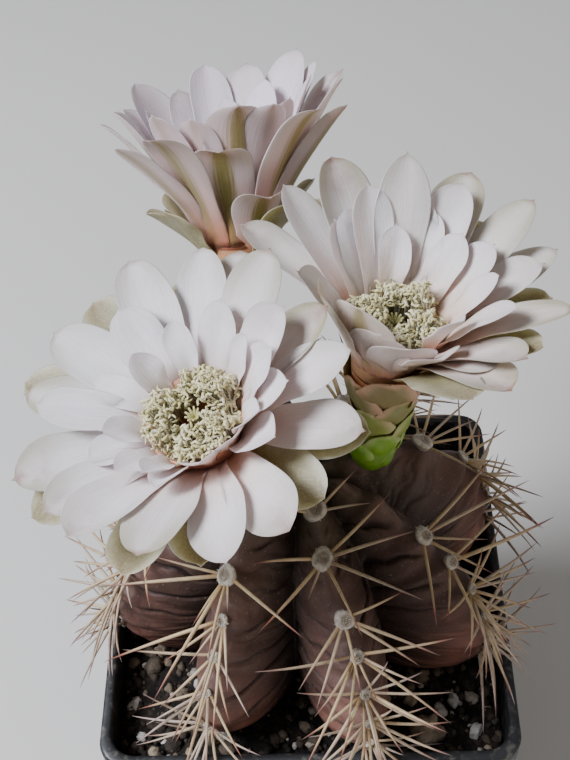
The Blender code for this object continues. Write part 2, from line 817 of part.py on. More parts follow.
def bloom_clearance(point):
    """True where a spine's point stays clear of every bloom.

    It is clear below the foot, and outside the tube where it is also either under the
    line of the longest tepals or beyond their tips.
    """
    for bloom in BLOOMS.values():
        foot, _, _, w = bloom_frame(bloom)
        h = (point - foot) @ w
        r = np.linalg.norm(point - foot - h * w)
        if h < -BLOOM_MARGIN:
            continue
        if r < TUBE_RADIUS + BLOOM_MARGIN:
            return False
        rules = bloom["tepals"]
        root = rules["root"] + bloom["tube"]
        longest = rules["length"] * LONGEST_TEPAL
        line = blade_line(TUBE_RADIUS, root, longest, rules["spread"], np.linspace(0, 1, 11))
        under = h < np.interp(r, line[0], line[1]) - BLOOM_MARGIN
        if not under and r < line[0][-1] + BLOOM_MARGIN:
            return False
    return True


def clear(point):
    """True where a spine's point is off the pot, the soil and the blooms."""
    wide = max(abs(point[0]), abs(point[1]))
    if wide > RIM_INNER_HALF - SPINE_MARGIN and point[2] < POT_HEIGHT + SPINE_MARGIN:
        return False
    if point[2] < SOIL_LEVEL + GRIT_RELIEF + SPINE_MARGIN:
        return False
    return bloom_clearance(point)


def spine_course(foot, out, down, across, spine, draw):
    """A heading and length at which the spine is clear, or None."""
    turn, rise, length = spine
    change = draw.uniform(-1, 1, 3)
    turn = math.radians(turn + 12 * change[0])
    length = length * (1 + 0.14 * change[2])
    for lift in range(0, 50, 7):
        up = math.radians(rise + 7 * change[1] + lift)
        flat = down * math.cos(turn) + across * math.sin(turn)
        heading = flat * math.cos(up) + out * math.sin(up)
        reach = length * (1 - 0.006 * lift)
        course = [
            foot + heading * reach * share - out * SPINE_BOW * reach * share**2
            for share in (0.3, 0.5, 0.7, 0.85, 1.0)
        ]
        if all(clear(point) for point in course):
            return heading, reach
    return None


def make_stem():
    """The ribbed stem on its root neck, with wool and spines along its crests."""
    turns = stem_turns()
    angles = [*range(2, FOOT_ANGLES[0] - STEM_ROW_STEP, STEM_ROW_STEP), *FOOT_ANGLES]
    rings = [stem_surface(np.full(turns.shape, angle), turns) for angle in angles]
    around = np.radians(turns)
    for z in (rings[-1][0, 2] - NECK_SLOPE, NECK_END):
        neck = np.stack([NECK_RADIUS * np.cos(around), NECK_RADIUS * np.sin(around)])
        rings.append(np.column_stack([neck.T, np.full(len(turns), z)]))
    points, faces = closed_loft(rings[::-1])
    stem = mesh_object("stem", points, faces, "stem_skin")
    repeats = []
    for rib in range(RIBS):
        for place in range(AREOLES):
            point, out, down, across = crest_frame(rib, place)
            draw = np.random.default_rng(100 * rib + place)
            if not bloom_clearance(point + out * 2 * WOOL_RADIUS):
                continue
            if place < WOOLLY_PLACES:
                repeats.append(tuft(f"wool_{rib}_{place}", point, out, WOOL_RADIUS))
            if place == 0:
                continue
            spines = LOW_SPINES if place >= FIRST_LOW_PLACE else SPINES
            for number, spine in enumerate(spines):
                course = spine_course(point, out, down, across, spine, draw)
                if course is None:
                    continue
                heading, length = course
                aside = heading - (heading @ out) * out
                aside /= np.linalg.norm(aside)
                root = point + aside * SPINE_RING - heading * SPINE_ROOT
                label = f"spine_{rib}_{place}_{number}"
                stages = ((0, SPINE_RADIUS), (0.5, 0.72 * SPINE_RADIUS))
                if place >= FIRST_LOW_PLACE:
                    stages = stages[:1]
                repeats.append(
                    needle(label, root, heading, -out, length + SPINE_ROOT, stages)
                )
    fuse(stem, repeats)


def main():
    for old in list(bpy.data.objects):
        bpy.data.objects.remove(old)
    make_pot()
    make_soil()
    make_stem()
    for side, bloom in BLOOMS.items():
        make_bloom(side, bloom)


main()
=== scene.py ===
import math
from functools import partial

import bpy
import numpy as np
from mathutils import Euler, Matrix, Vector


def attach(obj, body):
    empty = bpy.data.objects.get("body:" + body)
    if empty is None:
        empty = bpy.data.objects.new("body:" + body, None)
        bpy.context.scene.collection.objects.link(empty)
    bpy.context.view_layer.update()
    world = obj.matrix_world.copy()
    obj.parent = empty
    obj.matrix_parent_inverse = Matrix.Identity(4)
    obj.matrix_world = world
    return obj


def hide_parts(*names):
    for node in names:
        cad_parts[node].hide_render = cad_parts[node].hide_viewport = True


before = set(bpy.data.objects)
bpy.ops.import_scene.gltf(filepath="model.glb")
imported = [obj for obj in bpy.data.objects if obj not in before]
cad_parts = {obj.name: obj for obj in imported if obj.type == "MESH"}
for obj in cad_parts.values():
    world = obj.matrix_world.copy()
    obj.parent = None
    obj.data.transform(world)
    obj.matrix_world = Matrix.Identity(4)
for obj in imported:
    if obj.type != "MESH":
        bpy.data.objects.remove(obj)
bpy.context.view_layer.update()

mm = 0.001
goldenTurn = 137.5
print("frame loaded:", len(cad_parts), "nodes")


def hexColour(code):
    # sRGB hex to linear light: c / 12.92 when small, else ((c + 0.055) / 1.055) ^ 2.4
    share = np.array([int(code[at:at + 2], 16) for at in (1, 3, 5)]) / 255
    light = np.where(share <= 0.04045, share / 12.92, ((share + 0.055) / 1.055) ** 2.4)
    return (*light.tolist(), 1.0)


rugged = 0.55  # how strong the finer octaves of every noise are
usualSettings = {
    "Math": {"operation": "MULTIPLY"}, "Mix": {"data_type": "RGBA"},
    "MapRange": {"interpolation_type": "SMOOTHSTEP"},
}


def addNode(tree, kind, *inputs, stops=(), output=0, **settings):
    # One node with its settings and links. Its inputs, in the order of the sockets that it
    # shows, are values, hex colours, other nodes' outputs, "Object" for the place on the
    # object, or the name of a value that the mesh carries; None leaves a socket alone.
    node = tree.nodes.new("ShaderNode" + kind)
    for key, value in {**usualSettings.get(kind, {}), **settings}.items():
        setattr(node, key, value)
    sockets = [socket for socket in node.inputs if socket.enabled]
    for socket, value in zip(sockets, inputs):
        if isinstance(value, str) and value == "Object":
            value = addNode(tree, "TexCoord", output=3)
        elif isinstance(value, str) and value[0] != "#":
            value = addNode(tree, "Attribute", attribute_name=value, output=2)
        if isinstance(value, bpy.types.NodeSocket):
            tree.links.new(value, socket)
        elif value is not None:
            socket.default_value = hexColour(value) if isinstance(value, str) else value
    elements = node.color_ramp.elements if stops else ()
    for index, (place, colour) in enumerate(stops):
        element = elements[index] if index < 2 else elements.new(place)
        element.position, element.color = place, hexColour(colour)
    return [socket for socket in node.outputs if socket.enabled][output]


def newMaterial(name, sockets):
    # a material with its Principled shader's own sockets set: gives what adds its nodes,
    # and what links their outputs to the shader in the end
    made = bpy.data.materials.new(name)
    made.use_nodes = True
    tree = made.node_tree
    shader = tree.nodes["Principled BSDF"]
    for key, value in sockets.items():
        shader.inputs[key].default_value = value

    def finish(outputs):
        for key, output in outputs.items():
            tree.links.new(output, shader.inputs[key])
        return made

    return partial(addNode, tree), finish


def facingOut(part):
    # turns all faces round if the enclosed volume, the sum of a . (b x c) / 6, is negative
    points = part["points"]
    corners = np.concatenate([
        part["quads"][:, [0, 1, 2]], part["quads"][:, [0, 2, 3]], part["triangles"],
    ])
    a, b, c = points[corners[:, 0]], points[corners[:, 1]], points[corners[:, 2]]
    if np.einsum("ij,ij->", a - points.mean(axis=0), np.cross(b - a, c - a)) < 0:
        part["quads"] = part["quads"][:, ::-1]
        part["triangles"] = part["triangles"][:, ::-1]
    return part


def loftMany(rings, starts, ends, values):
    # n closed lofts at once: rings of points joined row by row, with a fan at each end.
    # rings is n x rows x corners x 3, and each value is spread to n x rows x corners.
    count, rows, corners, _ = rings.shape
    each = rows * corners + 2
    points = np.concatenate([rings.reshape(count, -1, 3), starts[:, None], ends[:, None]], 1)
    row, corner = np.meshgrid(np.arange(rows - 1), np.arange(corners), indexing="ij")
    after = (corner + 1) % corners
    low, high = row * corners, (row + 1) * corners
    quads = np.stack([low + corner, low + after, high + after, high + corner], -1)
    corner = np.arange(corners)
    after = (corner + 1) % corners
    last = (rows - 1) * corners
    middle = np.full(corners, rows * corners)
    fans = np.concatenate([
        np.stack([middle, after, corner], -1),
        np.stack([middle + 1, last + corner, last + after], -1),
    ])
    shift = np.arange(count)[:, None, None] * each
    spread = {}
    for name, value in values.items():
        full = np.broadcast_to(value, (count, rows, corners))
        ended = [full.reshape(count, -1), full[:, 0, :1], full[:, -1, :1]]
        spread[name] = np.concatenate(ended, axis=1).ravel()
    return facingOut({
        "points": points.reshape(-1, 3),
        "quads": (quads.reshape(1, -1, 4) + shift).reshape(-1, 4),
        "triangles": (fans[None] + shift).reshape(-1, 3),
        "values": spread,
    })


def joined(parts):
    # several parts as one mesh, with a value of 0 where a part lacks it
    names = sorted({name for part in parts for name in part["values"]})
    shifts = np.cumsum([0] + [len(part["points"]) for part in parts])
    return {
        "points": np.concatenate([part["points"] for part in parts]),
        "quads": np.concatenate([p["quads"] + s for p, s in zip(parts, shifts)]),
        "triangles": np.concatenate([p["triangles"] + s for p, s in zip(parts, shifts)]),
        "values": {
            name: np.concatenate([
                part["values"].get(name, np.zeros(len(part["points"]))) for part in parts
            ])
            for name in names
        },
    }


def putPiece(name, part, material, slot, *nodes):
    # the finished piece: its mesh, values as attributes, and what it rides on and replaces
    mesh = bpy.data.meshes.new(name)
    corners = np.concatenate([part["quads"].ravel(), part["triangles"].ravel()])
    sizes = np.repeat([4, 3], [len(part["quads"]), len(part["triangles"])])
    mesh.vertices.add(len(part["points"]))
    mesh.vertices.foreach_set("co", part["points"].astype(np.float32).ravel())
    mesh.loops.add(len(corners))
    mesh.loops.foreach_set("vertex_index", corners.astype(np.int32))
    mesh.polygons.add(len(sizes))
    starts = np.cumsum(sizes) - sizes
    mesh.polygons.foreach_set("loop_start", starts.astype(np.int32))
    mesh.update(calc_edges=True)
    for key, value in part["values"].items():
        made = mesh.attributes.new(key, "FLOAT", "POINT")
        made.data.foreach_set("value", value.astype(np.float32))
    mesh.materials.append(material)
    mesh.shade_smooth()
    piece = bpy.data.objects.new(name, mesh)
    bpy.context.scene.collection.objects.link(piece)
    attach(piece, "root")
    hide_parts(*nodes)
    triangles = 2 * len(part["quads"]) + len(part["triangles"])
    print(f"{name}: {triangles} triangles")
    return piece


def unit(vectors):
    # each vector over its own length
    return vectors / np.linalg.norm(vectors, axis=-1, keepdims=True)


def tubes(paths, radii, sides, values):
    # n tubes at once: a regular polygon carried along each path of stations x 3 points
    heading = unit(np.gradient(paths, axis=1))
    steep = np.abs(heading.mean(axis=1)[:, 2]) > 0.8
    hint = np.where(steep[:, None], [[1.0, 0.1, 0.0]], [[0.0, 0.1, 1.0]])
    side = unit(np.cross(heading, hint[:, None]))
    up = np.cross(heading, side)
    turn = 2 * np.pi * np.arange(sides) / sides
    offset = side[:, :, None] * np.cos(turn)[:, None] + up[:, :, None] * np.sin(turn)[:, None]
    rings = paths[:, :, None] + offset * radii[..., None, None]
    return loftMany(rings, paths[:, 0], paths[:, -1], values)


def blobs(centres, axes, rows, corners, lumps, seed, values, dimple=0.0):
    # n lumpy balls: points of a unit sphere, dimpled at the top by a bell curve, carried by
    # each ball's three axes, times one plus lumps of a few sines of the direction
    polar = np.pi * (np.arange(rows) + 0.7) / (rows + 0.4)
    turn = 2 * np.pi * np.arange(corners) / corners
    sphere = np.stack([
        np.sin(polar)[:, None] * np.cos(turn),
        np.sin(polar)[:, None] * np.sin(turn),
        np.cos(polar)[:, None] * np.ones(corners),
    ], -1)
    dip = np.exp(-(sphere[..., 0] ** 2 + sphere[..., 1] ** 2) / 0.14) * (sphere[..., 2] > 0)
    sphere[..., 2] -= dimple * dip
    draw = np.random.default_rng(seed)
    waves = draw.normal(0, 2.6, (3, 3))
    phases = draw.uniform(0, 6.3, (len(centres), 3))
    along = np.einsum("rck,wk->rcw", sphere, waves)
    swell = 1 + lumps * np.sin(along[None] + phases[:, None, None]).mean(axis=-1)
    rings = np.einsum("rck,nkj->nrcj", sphere, axes) * swell[..., None]
    poles = np.array([0.97 - dimple, -0.97])[:, None, None] * axes[:, 2]
    top, bottom = centres + poles[0], centres + poles[1]
    return loftMany(rings + centres[:, None, None], top, bottom, values)


def outwards(turn, u, v):
    # the directions at some turns about an axis: cos(turn) u + sin(turn) v
    return np.cos(turn)[:, None] * u + np.sin(turn)[:, None] * v


def profileRings(axes, profile, sides):
    # rings of points about a bloom's axis, one for each (r, h) pair of the profile
    foot, u, v, w = axes
    out = outwards(2 * np.pi * np.arange(sides) / sides, u, v)
    return foot + profile[:, 0, None, None] * out + profile[:, 1, None, None] * w


def turnedAbout(axes, profile, sides, values):
    # a closed solid: a profile of (r, h) pairs turned about a bloom's axis
    ends = axes[0] + profile[:, 1, None] * axes[3]
    return loftMany(profileRings(axes, profile, sides)[None], ends[:1], ends[-1:], values)


def ringAbout(axes, profile, sides, values):
    # a closed ring: the loop of (r, h) pairs turned about the axis, with no ends
    rows = len(profile)
    rings = profileRings(axes, profile, sides)
    row, side = np.meshgrid(np.arange(rows), np.arange(sides), indexing="ij")
    nextRow, after = (row + 1) % rows, (side + 1) % sides
    low, high = row * sides, nextRow * sides
    quads = np.stack([low + side, low + after, high + after, high + side], -1)
    spread = {k: np.broadcast_to(v, (rows, sides)).ravel() for k, v in values.items()}
    return facingOut({
        "points": rings.reshape(-1, 3),
        "quads": quads.reshape(-1, 4),
        "triangles": np.zeros((0, 3), int),
        "values": spread,
    })


def roughness3d(points, size, seed, octaves=3):
    # smooth noise between about -1 and 1: sines along seeded directions, finer and weaker
    draw = np.random.default_rng(seed)
    total = np.zeros(points.shape[:-1])
    for octave in range(octaves):
        waves = draw.normal(0, 1, (5, 3)) * (2 ** octave) * 2 / size
        phases = draw.uniform(0, 6.3, 5)
        total += np.sin(points @ waves.T + phases).mean(axis=-1) / 1.6 ** octave
    return total


# the stem's form, the same ribbed ellipse as the solid's; turns and angles in degrees
stem = {
    "radius": 38.8 * mm, "widest": 79 * mm, "dome": 36.5 * mm, "foot": 24 * mm,
    "footEnd": 156, "neck": 8 * mm, "neckEnd": 40 * mm, "neckSlope": 2 * mm,
    "dip": 3 * mm, "dipWidth": 6 * mm, "firstRib": -118.5, "groove": 0.47,
    "grooveShape": 1.5, "chin": 1.3 * mm, "crease": 1.45 * mm, "creaseWidth": 0.08,
    "creaseSlant": 0.85, "puff": 1.1 * mm, "wrinkle": 0.14 * mm, "lumps": 0.5 * mm,
    "rows": 230, "columns": 400, "rowsBelow": 16,
    # the areoles of each rib, as angles down its crest
    "usual": tuple(range(14, 99, 12)),
    "areoles": {
        0: (10, 22, 36, 47, 57.5, 70, 87, 103), 1: (15, 27.5, 43.5, 54, 66, 78, 91, 104),
        2: (11, 22, 38, 49, 60.5, 72, 84, 97), 3: (12, 24, 37.5, 57, 68, 80, 92, 104),
    },
    # how a crest swings aside: by how many degrees, at which angle down, over how many more
    "swing": {0: (-8.5, 30, 11), 1: (-5, 27, 16), 3: (4, 45, 30)},
}


def ribParts(angle, turn):
    # the rib's number, the signed share of the way from its crest to its grooves, its count
    # of areoles down to here, and how far the crest swings aside, a bell curve of the angle
    rib = np.round((turn - stem["firstRib"]) / 45)
    share = (turn - stem["firstRib"] - 45 * rib) / 22.5
    rib = rib % 8
    place, swing = np.zeros(np.shape(angle)), np.zeros(np.shape(angle))
    for number in range(8):
        angles = np.array(stem["areoles"].get(number, stem["usual"]), float)
        ended = np.concatenate([[angles[0] - 48], angles, [angles[-1] + 72]])
        steps = np.concatenate([[-4], np.arange(8), [13]])
        place = np.where(rib == number, np.interp(angle, ended, steps), place)
        if number in stem["swing"]:
            most, at, over = stem["swing"][number]
            bell = most * np.exp(-(((angle - at) / over) ** 2))
            swing = np.where(rib == number, bell, swing)
    return rib, share, place, swing


def stemSkin(angle, turn, relief=0.0):
    # angle is 0 at the apex, down the crest; turn is the azimuth. The crest is R sin(angle)
    # wide and its height follows cos(angle); between crests the skin sinks by a share of
    # its radius times the distance from the crest to the power 1.5, and swells in chins.
    slope = np.radians(angle)
    _, share, place, swing = ribParts(angle, turn)
    across = np.abs(share)
    half = np.where(slope < np.pi / 2, stem["dome"], stem["foot"])
    reach = stem["radius"] * np.sin(slope)
    height = stem["widest"] + half * np.cos(slope)
    out = np.stack([half * np.sin(slope), stem["radius"] * np.maximum(np.cos(slope), 0)])
    out = out / np.linalg.norm(out, axis=0)
    ended = np.clip((stem["footEnd"] - angle) / 30, 0, 1)
    sink = stem["groove"] * reach * across ** stem["grooveShape"] * ended
    chin = 0.75 * np.cos(2 * np.pi * (place - 0.1)) + 0.25 * np.cos(4 * np.pi * place)
    chin = stem["chin"] * chin * (1 - across) ** 0.6 * np.clip((112 - angle) / 25, 0, 1)
    chin = chin * np.clip(angle / 14, 0, 1) * np.clip(2.2 - angle / 60, 0.55, 1)
    lift = chin - sink + relief
    reach = reach + lift * out[0]
    height = height + lift * out[1]
    height = height - stem["dip"] * np.exp(-((reach / stem["dipWidth"]) ** 2))
    reach = np.where(angle > 90, np.maximum(reach, stem["neck"]), reach)
    around = np.radians(turn + swing * (1 - across ** 2))
    return np.stack([reach * np.cos(around), reach * np.sin(around), height], axis=-1)


def creases(angle, turn):
    # furrows that start on the crest between areoles and climb to the groove: a narrow dip
    # where the place down the rib, slanted by the share across, is near a half, with the
    # skin puffed up between them, more on some flanks than on others
    rib, share, place, _ = ribParts(angle, turn)
    across = np.abs(share)
    wander = 0.09 * np.sin(7 * across + 2.1 * rib + 3.1 * place)
    wander = wander + 0.05 * np.sin(15 * across + rib)
    slant = stem["creaseSlant"] * (0.75 + 0.25 * np.sin(1.7 * rib + np.sign(share)))
    slanted = place + slant * across + wander
    away = slanted % 1 - 0.5
    number = np.floor(slanted) + 11 * rib + 5 * np.sign(share)
    strength = 0.4 + 0.6 * np.sin(12.9898 * number) ** 2
    shown = np.clip((across - 0.06) / 0.25, 0, 1) * np.clip((angle - 10) / 16, 0, 1)
    shown = shown * np.clip((1 - across) / 0.12, 0, 1)
    deep = np.exp(-((away / stem["creaseWidth"]) ** 2)) * strength * shown
    half = (slanted * 2.0 + 0.35 * np.sin(3 * number) + 0.1 * np.sin(11 * across)) % 1 - 0.5
    between = np.exp(-((half / 0.07) ** 2)) * shown * (1.1 - strength)
    puffed = (np.sqrt(np.abs(2 * away)) - 0.66) * shown * strength
    return deep, between, puffed


def stemBody():
    # the skin over a grid of angles and turns, lifted by lumps, pores and creases, and
    # closed below by a neck that runs straight down into the soil
    rows, columns, below = stem["rows"], stem["columns"], stem["rowsBelow"]
    angle = np.concatenate([
        np.linspace(0.8, 112, rows - below), np.linspace(114, stem["footEnd"], below),
    ])
    turn = stem["firstRib"] + 360 / columns * np.arange(columns)
    angle, turn = np.meshgrid(angle, turn, indexing="ij")
    deep, between, puffed = creases(angle, turn)
    smooth = stemSkin(angle, turn)
    swell = roughness3d(smooth, 14 * mm, 5) * stem["lumps"] * np.clip(angle / 20, 0, 1)
    pores = roughness3d(smooth, 2.4 * mm, 6, 3) * stem["wrinkle"] * np.clip(angle / 10, 0, 1)
    relief = swell + pores + stem["puff"] * puffed - stem["crease"] * (deep + 0.5 * between)
    relief = relief * np.clip((118 - angle) / 14, 0, 1)
    rings = stemSkin(angle, turn, relief)
    around = np.radians(turn[0])
    circle = stem["neck"] * np.stack([np.cos(around), np.sin(around)], -1)
    low = rings[-1, 0, 2] - stem["neckSlope"]
    necks = [
        np.column_stack([circle, np.full(columns, z)]) for z in (low, stem["neckEnd"])
    ]
    rings = np.concatenate([rings, np.array(necks)])
    extra = ((0, 2), (0, 0))
    values = {
        "across": np.pad(np.abs(ribParts(angle, turn)[1]), extra, mode="edge"),
        "down": np.pad(angle / stem["footEnd"], extra, mode="edge"),
        "furrow": np.pad(deep + 0.5 * between, extra, mode="edge"),
    }
    ends = rings.mean(axis=1)
    return loftMany(rings[None], ends[:1], ends[-1:], {k: v[None] for k, v in values.items()})


def stemSkinMaterial():
    # waxy plant skin under strong light: dull brown-purple, darkened all over as painted shade
    # from the blooms above; paler and pinker on the low flanks, with painted shade towards the
    # grooves and in the furrows, and a soft broad shine
    node, finish = newMaterial("waxyStemSkin", {
        "Roughness": 0.58, "IOR": 1.42, "Specular IOR Level": 0.4,
        "Subsurface Weight": 0.06, "Subsurface Scale": 1.2 * mm,
    })
    blotch = node("TexNoise", "Object", 1 / (7 * mm), 4, rugged)
    blotch = node("MapRange", blotch, 0.3, 0.7, -0.12, 0.12)
    # the skin's own brown-purple mottling, darkened all over as painted shade from the blooms
    # above
    base = node("ValToRGB", node("Math", "down", blotch, operation="ADD"), stops=[
        (0.0, "#514837"), (0.16, "#60493f"), (0.34, "#573f38"), (0.52, "#65483f"),
        (0.68, "#7c574b"),
    ])
    # painted shade: the skin darkens towards the grooves between the ribs
    base = node("Mix", node("MapRange", "across", 0.25, 0.95, 0, 0.75), base, "#2b2520")
    low = node("Math", node("MapRange", "down", 0.4, 0.66),
               node("MapRange", "across", 0.75, 0.2))
    patch = node("TexNoise", "Object", 1 / (11 * mm), 3, rugged)
    low = node("Math", low, node("MapRange", patch, 0.42, 0.62, 0.1, 1))
    base = node("Mix", node("Math", low, 0.8), base, "#a06e5f")
    crest = node("MapRange", "across", 0.28, 0.02)
    base = node("Mix", node("Math", crest, 0.35), base, "#745e57")
    # painted shade: the creases are darkened
    base = node("Mix", node("MapRange", "furrow", 0.08, 0.8, 0, 0.8), base, "#231b17")
    # the skin's pale pores are finer than 0.1 mm; they are drawn coarse enough to show
    speck = node("TexNoise", "Object", 1 / (0.55 * mm), 2, rugged)
    base = node("Mix", node("MapRange", speck, 0.62, 0.74, 0, 0.28), base, "#a8968a")
    grain = node("TexNoise", "Object", 1 / (0.9 * mm), 4, rugged)
    lumps = node("TexNoise", "Object", 1 / (3 * mm), 2, rugged)
    relief = node("Math", grain, lumps, operation="ADD")
    return finish({"Base Color": base, "Normal": node("Bump", 0.5, 0.25 * mm, None, relief)})
